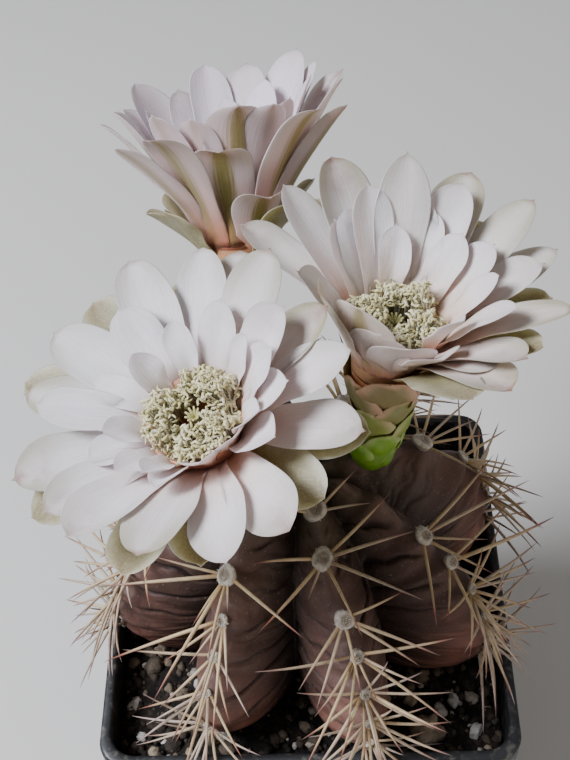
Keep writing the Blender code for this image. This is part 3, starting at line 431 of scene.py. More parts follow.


# The blooms, in mm and degrees; foot, lean, tube and mouth are the solids'. Each petal has its
# turn about the axis, its root, length and width, its low and high lean, and how pointed it is,
# how much olive tint and painted rim shade it has and how striped it is; a tenth number rolls
# its tip. The tepals have their turns, then the root, length, width and low and high lean of
# them all.
blooms = {
    "left": {
        "foot": (-7.2, -6.2, 113.4), "lean": 17, "towards": -148, "tube": 24, "mouth": 9.2,
        "seed": 11, "skew": 0.1, "skewTurn": 140, "oval": 0.05, "press": 19, "pressTurn": 38,
        "lilac": 0.2, "warm": 0.25, "warmShadeTurn": 330, "roll": 8,
        "form": {"blunt": 0.5, "widest": 0.66, "claw": 0.46},
        "petals": (
            (110, 6, 23.9, 9.4, 40, 72, 0.0, 0.6, 0.1),
            (86, 6, 23.2, 9.0, 44, 79, 0.2, 0.5, 0.1),
            (76, 5, 24.8, 8.6, 50, 90, 0.1, 1, 0.1),
            (56, 6, 23.7, 9.4, 35, 63, 0, 0.9, 0.6),
            (25, 6, 22.2, 8.4, 36, 65, 0.2, 1.2, 0.6),
            (6, 7.4, 22.1, 7.8, 36, 72, 0.3, 0.5, 0.1),
            (346, 6, 20.7, 8.6, 51, 84, 0.2, 0.6, 0.2),
            (306, 6, 22.3, 9.6, 46, 76, 0.1, 0.6, 0.1),
            (286, 6, 22.9, 9.4, 43, 72, 0.3, 0.45, 0.1),
            (261, 6, 23.0, 9.8, 37, 60, 0, 0.9, 0.1),
            (234, 6, 22.9, 9.8, 38, 61, 0.25, 0.55, 0.1),
            (197, 6, 23.5, 9.4, 46, 76, 0.3, 0.9, 0.15),
            (167, 5, 23.9, 8.6, 44, 77, 0.3, 1, 0.1),
            (144, 6, 23.5, 9.8, 43, 78, 0.1, 0.55, 0.1),
            (122, 7.6, 15.9, 8.4, 31, 63, 0, 0.2, 0),
            (67, 7.6, 13.7, 6.8, 25, 50, 0.3, 0.2, 0),
            (30, 7.6, 18.3, 8.4, 26, 51, 0.1, 0.3, 0),
            (174, 7.6, 18.7, 7.6, 35, 70, 0.1, 0.2, 0),
            (200, 7.6, 10.8, 6.4, 35, 70, 0, 0.1, 0),
            (157, 9.1, 10.1, 5.4, 33, 73, 0.2, 0, 0),
            (97, 9.1, 9.4, 5.2, 18, 46, 0.3, 0, 0),
            (133, 9.1, 8.9, 5.0, 10, 30, 0.5, 0, 0),
            (195, 9.1, 8.5, 5.0, 19, 40, 0.5, 0, 0),
            (246, 9.1, 8.7, 4.8, 17, 36, 0.4, 0, 0),
            (256, 8.6, 9.6, 5.0, 22, 46, 0.4, 0, 0),
            (12, 8.6, 14.6, 6.6, 17, 42, 0.1, 0, 0),
            (356, 8.4, 14.2, 6.4, 21, 50, 0.3, 0, 0),
            (33, 9.1, 11.6, 4.8, 11, 37, 0.5, 0, 0),
            (319, 8.4, 8.7, 7.0, 13, 31, 0.8, 0, 0),
            (330, 7.2, 13.1, 7.6, 22, 56, 0.8, 0.1, 0),
            (341, 8.4, 10.3, 5.4, 12, 40, 0.6, 0, 0),
            (286, 8.6, 8.5, 6.4, 13, 32, 0.5, 0, 0),
            (216, 7.0, 20.5, 8.8, 42, 74, 0.2, 0.7, 0.1),
            (225, 8.6, 9.5, 5.6, 22, 50, 0.3, 0, 0),
        ),
        "tepals": ((-10, 70, 98, 128, 160, 208, 246, 274, 322), 2.6, 23.5, 10, (50, 86)),
    },
    "right": {
        "foot": (12.3, 0.5, 113.4), "lean": 11, "towards": 52, "tube": 24.5, "mouth": 9.2,
        "seed": 23, "skew": 0.1, "skewTurn": 122, "oval": 0, "press": -14, "pressTurn": 224,
        "lilac": 0.1, "warm": 0.85, "warmShadeTurn": 300, "roll": 6,
        "form": {"blunt": 0.5, "widest": 0.68, "claw": 0.5},
        "petals": (
            (88, 6, 26.6, 9.2, 17, 34, 0.35, 0.4, 0.4),
            (62, 6, 26.9, 9.9, 27, 56, 0.2, 1, 0.3),
            (37, 6, 27.6, 8.7, 31, 56, 0.3, 0.9, 0.7),
            (22, 6, 24.9, 8.7, 37, 66, 0.3, 0.7, 0.6),
            (343, 6, 24.6, 8.3, 32, 58, 0.35, 1, 0.8),
            (318, 6, 20.2, 8.5, 35, 60, 0, 0.8, 0.4),
            (306, 5, 21.8, 9.0, 42, 70, 0.1, 1, 0.5),
            (140, 6.6, 25.0, 7.8, 30, 52, 0.4, 0.35, 0.3),
            (150, 6, 25.0, 7.4, 42, 72, 0.4, 0.7, 0.5),
            (115, 6, 27.4, 9.9, 27, 54, 0.1, 0.9, 0.5),
            (203, 3.0, 18.4, 11.4, 24, 30, 0.3, 1, 1.5),
            (109, 7.6, 20.0, 7.4, 14, 35, 0.3, 0.1, 0.1),
            (96, 7.6, 19.0, 6.3, 20, 46, 0.2, 0.1, 0.1),
            (61, 7.6, 22.2, 8.3, 23, 45, 0.35, 0.2, 0.1),
            (71, 9.1, 15.0, 7.2, 16, 42, 0.2, 0, 0),
            (132, 8.6, 14.6, 6.9, 16, 40, 0.3, 0.1, 0.1),
            (92, 9.1, 11.9, 5.6, 9, 27, 0.5, 0, 0),
            (46, 8.8, 13.6, 6.9, 14, 36, 0.2, 0.1, 0),
            (28, 8.4, 15.4, 7.8, 18, 44, 0.15, 0.1, 0),
            (331, 8, 17.4, 7.6, 20, 44, 0.3, 0.1, 0),
            (0, 9.1, 13.4, 6.3, 14, 38, 0.3, 0, 0),
            (310, 9.1, 11.5, 5.4, 12, 34, 0.4, 0, 0),
            (292, 4.2, 14.0, 9.4, 28, 46, 0.2, 0.1, 0),
            (314, 7, 14.5, 7.8, 33, 68, 0.2, 0.5, 0.3),
            (272, 2.8, 13.4, 11.0, 26, 28, 0, 0.1, 0.2),
            (229, 2.8, 16.6, 12.0, 25, 14, 0.1, 0.5, 1),
            (178, 6.6, 15.0, 9.0, 22, 42, 0.3, 0.6, 0.6),
            (250, 3.0, 13.8, 10.6, 26, 20, 0.1, 0.2, 0.4),
            (12, 7.6, 20.0, 7.8, 30, 58, 0.3, 0.3, 0.1),
            (78, 7.6, 18.5, 7.8, 18, 40, 0.3, 0.1, 0.1),
            (122, 8.4, 16.0, 7.2, 14, 38, 0.2, 0.1, 0.1),
        ),
        "tepals": ((-68, -30, 4, 50, 76, 122), 2.4, 24.5, 10, (38, 68)),
    },
    "back": {
        "foot": (-9, 14.5, 110.9), "lean": 33, "towards": 95, "tube": 29.5, "mouth": 6.6,
        "seed": 37, "skew": 0.1, "skewTurn": 80, "oval": 0, "press": 8, "pressTurn": 200,
        "lilac": 0.6, "warm": 0.3, "warmShadeTurn": 270, "roll": 12,
        "form": {"blunt": 0.8, "widest": 0.72, "claw": 0.54},
        "petals": (
            (149, 6, 30.5, 9.8, 13, 31, 0.3, 0.3, 0.3),
            (160, 6.6, 26.7, 8.6, 14, 36, 0.4, 0.2, 0.2),
            (190, 6, 27.1, 8.6, 15, 34, 0.2, 0.3, 0.6),
            (205, 5.6, 28.3, 8.6, 18, 40, 0.3, 0.4, 0.8),
            (219, 5, 26.0, 8.2, 22, 47, 0.2, 0.6, 0.8),
            (238, 6, 25.4, 9.8, 17, 38, 0.1, 0.9, 1, 50),
            (105, 7.6, 29.1, 8.2, 9, 21, 0.1, 0.1, 0.1),
            (76, 6.6, 29.7, 9.4, 9, 22, 0, 0.6, 0.9),
            (46, 6, 33.4, 9.8, 11, 27, 0.25, 0.4, 0.5),
            (30, 7, 30.6, 7.8, 13, 31, 0.3, 0.3, 0.3),
            (16, 6, 31.4, 8.8, 15, 35, 0.2, 0.9, 0.8),
            (358, 6, 30.2, 8.6, 16, 36, 0.2, 0.9, 0.8),
            (341, 5.4, 28.2, 8.6, 19, 42, 0.3, 0.9, 1),
            (322, 6, 27.4, 9.8, 15, 36, 0.1, 0.9, 1.1, 40),
            (284, 6, 25.5, 11.5, 9, 22, 0.1, 0.5, 1.1, 20),
            (268, 5, 20.6, 11, 10, 25, 0, 1, 1.4, 80),
            (308, 6.6, 24.6, 9.8, 10, 26, 0.2, 0.2, 0.4),
            (54, 8.2, 24.6, 7.4, 7, 18, 0.3, 0, 0.1),
            (124, 7, 26.3, 8.6, 10, 26, 0, 0.6, 0.3),
            (92, 8.6, 21.4, 6.4, 7, 18, 0.5, 0, 0),
            (172, 8.2, 22.0, 8.0, 10, 24, 0.3, 0.1, 0.1),
            (250, 7, 22.5, 8.6, 9, 22, 0.3, 0.2, 0.3),
            (330, 8.2, 23.0, 8.0, 8, 22, 0.3, 0.1, 0.1),
            (226, 7.4, 24.0, 8.4, 12, 28, 0.3, 0.2, 0.4),
            (304, 3, 13.6, 9.6, 12, 34, 0, 1, 1.4, 95),
            (96, 6, 31.0, 8.8, 15, 35, 0.2, 0.8, 0.8),
            (10, 7.6, 27.0, 8.0, 10, 26, 0.3, 0.4, 0.4),
        ),
        "tepals": ((12, 60, 108, 150, 192, 214, 318), 2.2, 14.5, 8.2, (28, 46)),
    },
}
# what all blooms share, in mm and degrees
flower = {
    "tubeRadius": 6, "ringTop": 10.2, "ringWall": 1.4, "overlapLean": 5, "hollow": 9,
    "bladeRows": 24, "bladeColumns": 13, "thickness": 0.5, "ripple": 0.24, "midrib": 0.16,
}


def bloomAxes(bloom, up=0.0):
    # the bloom's foot, moved up its axis, and its directions u, v and w, with w the axis
    lean, towards = math.radians(bloom["lean"]), math.radians(bloom["towards"])
    w = np.array([
        math.sin(lean) * math.cos(towards), math.sin(lean) * math.sin(towards), math.cos(lean),
    ])
    u = unit(np.array([1.0, 0.0, 0.0]) - w[0] * w)
    return (np.array(bloom["foot"]) + up * w) * mm, u, np.cross(w, u), w


def funnel(bloom, h):
    # the outer radius in mm above the green tube: it widens by the height to the power 1.5
    widening = np.clip(h / flower["ringTop"], 0, 1) ** 1.5
    return flower["tubeRadius"] + (bloom["mouth"] - flower["tubeRadius"]) * widening


def greenRadius(share):
    # the green tube's outer radius in mm: a swelling over the foot and a slight waist
    stages, radii = (0, 0.06, 0.18, 0.38, 0.58, 1), (0.15, 0.44, 0.7, 0.79, 0.77, 1)
    return flower["tubeRadius"] * np.interp(share, stages, radii)


def blades(axes, turn, form, values):
    # n leaves at once. The midline leans from low to high degrees off the axis by
    # 1 - (1 - s)^2.2, plus a curl by s^4 and a flick of the tip by s^12, and its radius and
    # height are running sums of that lean's sine and cosine. Half the width is a claw, a
    # smooth swelling and a round, blunt or pointed end. The edges lift by cup, turn by
    # twist and ripple, a channel runs down the middle, and the back lies a thickness behind
    # that falls to nothing at the edges.
    foot, u, v, w = axes
    usual = {"ripple": flower["ripple"], "midrib": flower["midrib"], "mucro": 0.4,
             "thickness": flower["thickness"], "twist": 0, "curl": 0, "flick": 0, "blunt": 0}
    form = {key: np.broadcast_to(np.asarray(value, float), turn.shape)[:, None]
            for key, value in {**usual, **form}.items()}
    share = np.linspace(0, 1, flower["bladeRows"])
    share = 0.5 * share + 0.5 * np.sin(share * np.pi / 2)
    share[-1] = 0.998
    steps = 60
    fine = np.linspace(0, 1, steps + 1)
    lean = form["low"] + (form["high"] - form["low"]) * (1 - (1 - fine) ** 2.2)
    lean = np.radians(lean + form["curl"] * fine ** 4 + form["flick"] * fine ** 12)
    middle = (lean[:, 1:] + lean[:, :-1]) / 2
    start = np.zeros((len(turn), 1))
    r = np.concatenate([start, np.cumsum(np.sin(middle), 1)], 1) * form["length"] / steps
    h = np.concatenate([start, np.cumsum(np.cos(middle), 1)], 1) * form["length"] / steps
    index = np.minimum((share * steps).astype(int), steps - 1)
    part = share * steps - index
    r, h, lean = (a[:, index] * (1 - part) + a[:, index + 1] * part for a in (r, h, lean))
    rise = np.clip(share / form["widest"], 0, 1)
    body = form["claw"] + (1 - form["claw"]) * rise ** 2 * (3 - 2 * rise)
    end = np.clip((share - form["widest"]) / (1 - form["widest"]), 0, 1)
    ended = (1 - end ** (2 + form["blunt"])) ** (0.5 + 0.4 * form["point"])
    half = (form["width"] / 2 * body * ended)[..., None]
    out = outwards(np.radians(turn), u, v)
    side = np.cross(w, out)[:, None, None]
    normal = -np.cos(lean)[..., None] * out[:, None] + np.sin(lean)[..., None] * w
    line = (form["rootReach"] + r)[..., None] * out[:, None]
    line = line + (form["root"] + h)[..., None] * w
    columns = flower["bladeColumns"]
    front = np.sin(np.linspace(-1, 1, columns) * np.pi / 2)
    t = np.concatenate([front, front[-2:0:-1]])
    back = np.concatenate([np.zeros(columns), np.ones(columns - 2)])
    phase = (share + form["phase"])[..., None]
    half = half * (1 + 0.035 * np.sin(11 * phase + np.sign(t)) * np.abs(t))
    wave = np.sin(10 * phase) * np.abs(t) ** 3 + 0.6 * np.sin(15 * phase) * t ** 3
    wave = form["ripple"][..., None] * wave * np.sin(np.pi * share ** 0.7)[:, None]
    soft = 0.1 * np.sin(4.2 * t + 6 * phase) * np.clip(half / 3, 0, 1)
    channel = form["midrib"][..., None] * np.exp(-((t * half / 0.9) ** 2))
    channel = channel * (np.clip(share * 6, 0, 1) * (1 - share ** 3))[:, None]
    lift = (form["cup"][..., None] * np.abs(t) ** 1.8 + form["twist"][..., None] * t) * half
    thick = (form["thickness"] * (1 - 0.6 * share))[..., None]
    thick = thick * np.sqrt(1 - t ** 2) * np.clip(half / 0.8, 0, 1)
    offset = lift + wave + soft - channel - back * thick
    points = line[:, :, None] + (t * half)[..., None] * side
    points = foot + (points + normal[:, :, None] * offset[..., None]) * mm
    tipWay = np.sin(lean[:, -1:]) * out + np.cos(lean[:, -1:]) * w
    tips = points[:, -1].mean(axis=1) + tipWay * form["mucro"] * mm
    shown = {"along": share[None, :, None], "across": np.abs(t), "back": back}
    for key, value in values.items():
        shown[key] = np.broadcast_to(np.asarray(value, float), turn.shape)[:, None, None]
    return loftMany(points, points[:, 0].mean(axis=1), tips, shown)


def bladeTints(bloom, turn, change, olive, stripe):
    # what the petal material reads for each blade: how smudged it is, how much olive tint and
    # painted rim shade it has, how peach it is with painted warm shade on the bloom's shaded
    # side, and a random share of its own
    # painted warm shade: blades turned towards warmShadeTurn, the bloom's shaded side, are made
    # warmer
    warmShadeSide = np.cos(np.radians(turn - bloom["warmShadeTurn"]))
    return {
        "blush": np.clip(0.35 + 0.9 * change[:, 3], 0, 1) * olive, "lilac": bloom["lilac"],
        "warm": np.clip(bloom["warm"] + 0.4 * warmShadeSide, 0, 1), "stripe": stripe,
        "shade": 0.5 + 0.5 * change[:, 4], "olive": olive * (1 - 0.75 * bloom["lilac"]),
    }


def bladeForm(bloom, change, root, length):
    # the sizes that a bloom's petals and tepals share; claws start a little down the funnel
    lower = np.where(np.asarray(root) > 5, 1.4, 0)
    own = bloom["form"]
    return {
        "root": root - lower, "length": length + lower,
        "rootReach": funnel(bloom, root - lower) - flower["ringWall"] * 0.45,
        "twist": 0.12 * change[:, 4], "claw": own["claw"], "blunt": own["blunt"],
        "widest": own["widest"] + 0.04 * change[:, 3], "phase": change[:, 0] * 3,
        "mucro": 0.45 + 0.25 * change[:, 1],
    }


def tepals(bloom, draw):
    # the outer tepals in one whorl, each with its own seeded differences: the side that is
    # pressed leans by the square of the cosine of the turn from it
    turns, root, length, width, spread = bloom["tepals"]
    turn = np.array(turns, float)
    change = draw.uniform(-1, 1, (len(turn), 5))
    longer = bloom["skew"] * np.cos(np.radians(turn - bloom["skewTurn"]))
    longer = longer + bloom["oval"] * np.cos(np.radians(2 * turn))
    near = np.maximum(0, np.cos(np.radians(turn - bloom["pressTurn"]))) ** 2
    push = bloom["press"] * near - flower["overlapLean"] * (np.arange(len(turn)) % 2)
    form = bladeForm(bloom, change, root, length * (1 + longer + 0.05 * change[:, 0]))
    form.update({
        "width": width * (1 + 0.07 * change[:, 1]), "cup": 0.15 + 0.12 * change[:, 3],
        "low": spread[0] + push * 0.5, "high": spread[1] + push + 4 * change[:, 2],
        "point": np.clip(0.1 + 0.25 * change[:, 2], 0, 1),
        "curl": 8 * change[:, 1], "flick": bloom["roll"] * (1 + change[:, 4]),
    })
    tints = bladeTints(bloom, turn, change, 1.0, 1.0)
    return blades(bloomAxes(bloom, bloom["tube"]), turn, form, tints)


def petals(bloom):
    # the petals, each from its own row of the bloom's table
    rows = np.array([(*row, bloom["roll"])[:10] for row in bloom["petals"]], float)
    turn, root, length, width, low, high, point, olive, stripe, roll = rows.T
    change = np.random.default_rng(bloom["seed"] + 900).uniform(-1, 1, (len(rows), 5))
    form = bladeForm(bloom, change, root, length)
    form.update({
        "width": width, "low": low, "high": high, "point": point, "flick": roll,
        "cup": 0.16 + 0.12 * change[:, 3] + 0.14 * (length < 12), "curl": 6 * change[:, 1],
    })
    tints = bladeTints(bloom, turn, change, olive, stripe)
    return blades(bloomAxes(bloom, bloom["tube"]), turn, form, tints)


def throatRing(bloom, low, high, outer, inner):
    # a ring of blade bases: its wall follows the funnel between two heights, set in by an
    # outer and an inner distance that each run along it
    steps = np.linspace(low, high, 8)
    way = np.linspace(0, 1, 8)
    insets = [np.interp(way, [0, 0.35, 1], inset) for inset in (outer, inner)]
    sides = [np.column_stack([funnel(bloom, steps) - inset, steps]) for inset in insets]
    profile = np.concatenate([sides[0], sides[1][::-1]]) * mm
    values = {
        "along": 0.03, "across": 0.0, "back": np.repeat([1.0, 0.0], 8)[:, None],
        "warm": bloom["warm"], "lilac": bloom["lilac"],
    }
    return ringAbout(bloomAxes(bloom, bloom["tube"]), profile, 64, values)


def petalMaterial():
    # petal tissue: thin and full of air cells, so it scatters light and looks white with a
    # touch of lilac, peach at its base, smudged mauve at the tip, olive down its back; painted
    # shade darkens its base and tip, greys the outer petals' rims and warms each bloom's shaded
    # side
    node, finish = newMaterial("petalTissue", {
        "Roughness": 0.55, "IOR": 1.4, "Specular IOR Level": 0.3,
        "Subsurface Weight": 0.45, "Subsurface Radius": (1.0, 0.82, 0.74),
        "Subsurface Scale": 1.3 * mm, "Sheen Weight": 0.15, "Sheen Roughness": 0.4,
    })
    # both ramps run darker and warmer to the base: the throat's own peach and orange, deepened
    # there by painted shade; the inside's greyer tip is painted shade
    inside = node("ValToRGB", "along", stops=[
        (0.0, "#d3a383"), (0.12, "#e4cfbf"), (0.3, "#ece6e3"), (0.65, "#f1f0f3"),
        (1.0, "#dcd8da"),
    ])
    outside = node("ValToRGB", "along", stops=[
        (0.0, "#be6d44"), (0.13, "#d6a07c"), (0.34, "#e0c8ba"), (0.66, "#e8dfdf"),
        (1.0, "#d2c8c2"),
    ])
    base = node("Mix", "back", inside, outside)
    peach = node("Mix", 1.0, base, "#f5dcc6", blend_type="MULTIPLY")
    # the peach share follows warm: the throat's own peach, plus painted warm shade on each
    # bloom's shaded side
    share = node("Math", "warm", node("MapRange", "along", 1.0, 0.1, 0.3, 1))
    base = node("Mix", share, base, peach)
    lilac = node("Mix", 1.0, base, "#f0dcea", blend_type="MULTIPLY")
    base = node("Mix", "lilac", base, lilac)
    # fine veins: noise drawn out along the blade, from its own two shares
    ownPlace = node("CombineXYZ", node("Math", "across", 7.0), "along",
                    node("Math", "shade", 9.0))
    veins = node("TexNoise", ownPlace, 1 / 0.4, 3, rugged)
    base = node("Mix", node("MapRange", veins, 0.42, 0.66, 0, 0.2), base, "#b9b0b8")
    # olive midstripe, strong on the back, ghosting through on the front
    wavy = node("Math", "across", node("MapRange", veins, 0.3, 0.7, -0.1, 0.1), operation="ADD")
    stripe = node("Math", node("MapRange", wavy, 0.55, 0.02), "stripe")
    stripe = node("Math", stripe, node("MapRange", "along", 0.05, 0.5, 0.4, 0.85))
    stripe = node("Math", stripe, node("MapRange", "back", 0, 1, 0.16, 1))
    base = node("Mix", stripe, base, "#857b35")
    # the outer petals' rims and ends turn an olive grey: partly their own olive tint, partly
    # painted shade
    rim = node("Math", node("MapRange", "across", 0.1, 0.95, 0.45, 1),
               node("MapRange", "along", 0.25, 0.95))
    base = node("Mix", node("Math", rim, "olive"), base, "#96906f")
    cloud = node("TexNoise", "Object", 1 / (3.5 * mm), 4, rugged)
    smudge = node("Math", node("MapRange", "along", 0.66, 0.96), "blush")
    smudge = node("Math", smudge, node("MapRange", cloud, 0.36, 0.62, 0.25, 1))
    smudge = node("Math", smudge, node("MapRange", "across", 0.85, 0.0, 0.15, 0.8))
    base = node("Mix", smudge, base, "#82605a")
    tip = node("Math", node("MapRange", "along", 0.95, 1.0, 0, 0.8), "olive")
    base = node("Mix", tip, base, "#7d5640")
    # the cells that glitter are some 0.05 mm; they are drawn coarse enough to show
    grain = node("TexNoise", "Object", 1 / (0.35 * mm), 3, rugged)
    base = node("Mix", node("MapRange", grain, 0.4, 0.72, 0, 0.12), base, "#b6b2bd")
    relief = node("Math", grain, node("Math", veins, 1.6), operation="ADD")
    lumps = node("TexNoise", "Object", 1 / (1.6 * mm), 2, rugged)
    relief = node("Math", relief, lumps, operation="ADD")
    return finish({
        "Base Color": base, "Roughness": node("MapRange", grain, 0.35, 0.7, 0.42, 0.66),
        "Normal": node("Bump", 0.5, 0.07 * mm, None, relief),
    })


def tepalMaterial():
    # outer tepal tissue: thin, greyish olive and brown with paler clear edges
    node, finish = newMaterial("outerTepalTissue", {
        "Roughness": 0.5, "IOR": 1.4, "Subsurface Weight": 0.4,
        "Subsurface Radius": (1.0, 0.9, 0.5), "Subsurface Scale": 1.2 * mm,
    })
    base = node("ValToRGB", "along", stops=[
        (0.0, "#be7a50"), (0.1, "#a07c4c"), (0.3, "#7b7544"), (0.75, "#858064"),
        (1.0, "#74654a"),
    ])
    pale = node("Mix", "back", "#bdb9a4", "#a39e7a")
    rim = node("Math", node("MapRange", "across", 0.3, 0.98, 0.1, 0.75),
               node("MapRange", "along", 0.05, 0.3))
    base = node("Mix", rim, base, pale)
    cloud = node("TexNoise", "Object", 1 / (3 * mm), 4, rugged)
    base = node("Mix", node("MapRange", cloud, 0.35, 0.68, 0, 0.4), base, "#817a58")
    grain = node("TexNoise", "Object", 1 / (0.35 * mm), 3, rugged)
    base = node("Mix", node("MapRange", grain, 0.4, 0.75, 0, 0.25), base, "#c9c4ae")
    lumps = node("TexNoise", "Object", 1 / (1.6 * mm), 3, rugged)
    relief = node("Math", grain, lumps, operation="ADD")
    return finish({"Base Color": base, "Normal": node("Bump", 0.5, 0.1 * mm, None, relief)})


def greenMaterial():
    # fresh scale and tube tissue: bright green and glossy below, then olive scales with pink
    # and cream edges on an orange tube
    node, finish = newMaterial("greenTubeTissue", {
        "Roughness": 0.36, "IOR": 1.42, "Subsurface Weight": 0.18,
        "Subsurface Radius": (0.7, 1.0, 0.3), "Subsurface Scale": 1.5 * mm,
    })
    cloud = node("TexNoise", "Object", 1 / (3 * mm), 3, rugged)
    mottled = node("Math", "height", node("MapRange", cloud, 0.3, 0.7, -0.05, 0.05),
                   operation="ADD")
    tube = node("ValToRGB", mottled, stops=[
        (0.0, "#5d8420"), (0.34, "#75a02a"), (0.5, "#a09a4a"), (0.62, "#bd8a58"),
        (1.0, "#c47c52"),
    ])
    scale = node("ValToRGB", mottled, stops=[
        (0.0, "#5a8a1a"), (0.38, "#7ba62e"), (0.52, "#8f9b45"), (0.7, "#878152"),
        (1.0, "#958058"),
    ])
    base = node("Mix", "isScale", tube, scale)
    edge = node("ValToRGB", mottled, stops=[
        (0.2, "#9dbd55"), (0.5, "#c9c88c"), (0.7, "#dba98c"),
    ])
    rim = node("Math", node("MapRange", "across", 0.5, 0.98),
               node("MapRange", "along", 0.78, 1), operation="MAXIMUM")
    base = node("Mix", node("Math", rim, node("Math", "isScale", 0.75)), base, edge)
    blotch = node("TexNoise", "Object", 1 / (1.2 * mm), 3, rugged)
    base = node("Mix", node("MapRange", blotch, 0.45, 0.7, 0, 0.2), base, "#6c6a3c")
    relief = node("TexNoise", "Object", 1 / (0.8 * mm), 3, rugged)
    return finish({"Base Color": base, "Normal": node("Bump", 0.35, 0.15 * mm, None, relief)})


# the tube's scales, from the first to the last up the tube, in mm and shares of its height
scales = {
    "count": 21, "lowest": 0.07, "spread": 0.74, "sunk": 0.45, "length": (3.6, 4.6),
    "width": (4.8, 5.6), "firstTurn": 40, "corners": 40,
}


def greenTube(bloom):
    # the tube: rings up to its mouth, over the wall and down into its hollow, with scales
    # that climb it by the golden turn, longer and wider towards the top
    end = bloom["tube"]
    axes = bloomAxes(bloom)
    rise = np.concatenate([np.linspace(0, 0.2, 9), np.linspace(0.24, 1, 16)])
    outer = np.column_stack([greenRadius(rise), rise * end])
    inner = np.array([
        (flower["tubeRadius"] - flower["ringWall"], end),
        (flower["tubeRadius"] - 2.2 * flower["ringWall"], end - flower["hollow"]),
    ])
    profile = np.concatenate([outer, inner])
    height = np.concatenate([rise, [1.0, 1.0]])[None, :, None]
    body = turnedAbout(axes, profile * mm, scales["corners"], {"height": height})
    count, (short, longer), (narrow, wider) = (scales[k] for k in ("count", "length", "width"))
    grow = np.arange(count) / (count - 1)
    share = scales["lowest"] + scales["spread"] * grow
    form = {
        "root": share * end, "rootReach": greenRadius(share) - scales["sunk"],
        "length": short + longer * grow ** 0.8, "width": narrow + wider * grow,
        "low": 38 - 4 * grow,
        "high": 4 + 8 * grow ** 3, "cup": 0.38 - 0.12 * grow, "claw": 0.85, "widest": 0.34,
        "thickness": 0.7, "ripple": 0.1, "midrib": -0.12, "point": 0.45, "mucro": 0.35,
        "phase": grow * 5, "curl": 8,
    }
    turn = goldenTurn * np.arange(count) + scales["firstTurn"]
    values = {"height": share + 0.04, "isScale": 1.0}
    return joined([body, blades(axes, turn, form, values)])


# the stamens, in mm: a bloom with a wide mouth has many, and gaps that fall and pull in
stamen = {
    "wideMouth": 8, "many": 430, "few": 170, "inner": 2.3, "crown": 12.6, "rootLow": 3.2,
    "rootRise": 4, "gapFall": 3.0, "gapPull": 0.16, "pressPull": 0.16, "filament": 0.11,
    "anther": 0.8, "antherBend": 0.5, "antherCurl": 0.3,
    "antherThick": (0.08, 0.2, 0.24, 0.17, 0.25, 0.2, 0.08),
}


def stamens(bloom, draw):
    # pale filaments rise from the throat's wall and bend in, the outer ones out, each on a
    # curve of two parameters; curled anthers crowd their ends in uneven clumps
    axes = bloomAxes(bloom, bloom["tube"])
    foot, u, v, w = axes
    wide = bloom["mouth"] > stamen["wideMouth"]
    count = stamen["many"] if wide else stamen["few"]
    mouth = funnel(bloom, flower["ringTop"]) - flower["ringWall"] + 0.3 * wide
    change = draw.uniform(-1, 1, (count, 9))
    share = ((np.arange(count) + 0.5) / count) ** 0.62
    turn = np.radians(goldenTurn * np.arange(count) + 10 * change[:, 0])
    reach = stamen["inner"] + (mouth - stamen["inner"]) * share + 0.3 * change[:, 1]
    gap = np.clip(-np.sin(3 * turn + bloom["seed"]) - 0.5, 0, 1) * 2 * wide
    # petals pressed inwards on one side crowd the stamens there
    pressed = np.maximum(0, np.cos(turn - math.radians(bloom["pressTurn"]))) ** 3
    pull = stamen["pressPull"] * (bloom["press"] < 0)
    reach = reach * (1 - stamen["gapPull"] * gap) * (1 - pull * pressed)
    clump = 1.2 * np.sin(2 * turn + 0.6) + 0.8 * np.sin(5 * turn + bloom["seed"])
    crown = stamen["crown"] - 6 * np.clip(share - 0.55, 0, 1) ** 1.5
    crown = crown - 2.5 * np.clip(0.3 - share, 0, 1) + clump * (1 - np.abs(2 * share - 1.1))
    crown = crown + 0.8 * change[:, 2] - stamen["gapFall"] * gap
    rootTurn = turn + 0.25 * change[:, 3]
    rootHigh = stamen["rootLow"] + stamen["rootRise"] * share
    rootReach = funnel(bloom, rootHigh) - flower["ringWall"] - 0.15

    def at(r, t, h):
        # the points at distances r, turns t and heights h of the bloom
        return foot + (r[:, None] * outwards(t, u, v) + h[:, None] * w) * mm

    first = at(rootReach, rootTurn, rootHigh)
    control = at(rootReach * (1 - 0.2 * (1 - share)), rootTurn, crown - 0.8 + 1.2 * share)
    last = at(reach, turn, crown)
    s = np.linspace(0, 1, 8)[None, :, None]
    paths = (1 - s) ** 2 * first[:, None] + 2 * s * (1 - s) * control[:, None]
    paths = paths + s ** 2 * last[:, None]
    thin = np.full((count, 8), stamen["filament"] * mm)
    filaments = tubes(paths, thin, 4, {"anther": 0.0, "shade": change[:, 4, None, None]})
    # an anther: a short tube bent to an arc and curled, in a random direction
    way = unit(draw.normal(0, 1, (count, 3)) * [1, 1, 0.7])
    bend = unit(np.cross(way, draw.normal(0, 1, (count, 3))))
    arc = np.linspace(-1, 1, 7)[None, :, None]
    length = (stamen["anther"] + 0.25 * change[:, 5])[:, None, None] * mm
    anthersAt = last[:, None] + way[:, None] * arc * length
    bowed = stamen["antherBend"] + 0.2 * change[:, 8, None, None]
    anthersAt = anthersAt + bend[:, None] * (1 - arc ** 2) * bowed * mm
    curled = np.sin(arc * 4 + 3 * change[:, 6, None, None]) * stamen["antherCurl"]
    anthersAt = anthersAt + np.cross(way, bend)[:, None] * curled * mm
    thick = np.array(stamen["antherThick"]) * mm
    thick = thick * (1 + 0.2 * change[:, 7, None])
    anthers = tubes(anthersAt, thick, 6, {"anther": 1.0, "shade": change[:, 6, None, None]})
    return joined([filaments, anthers])


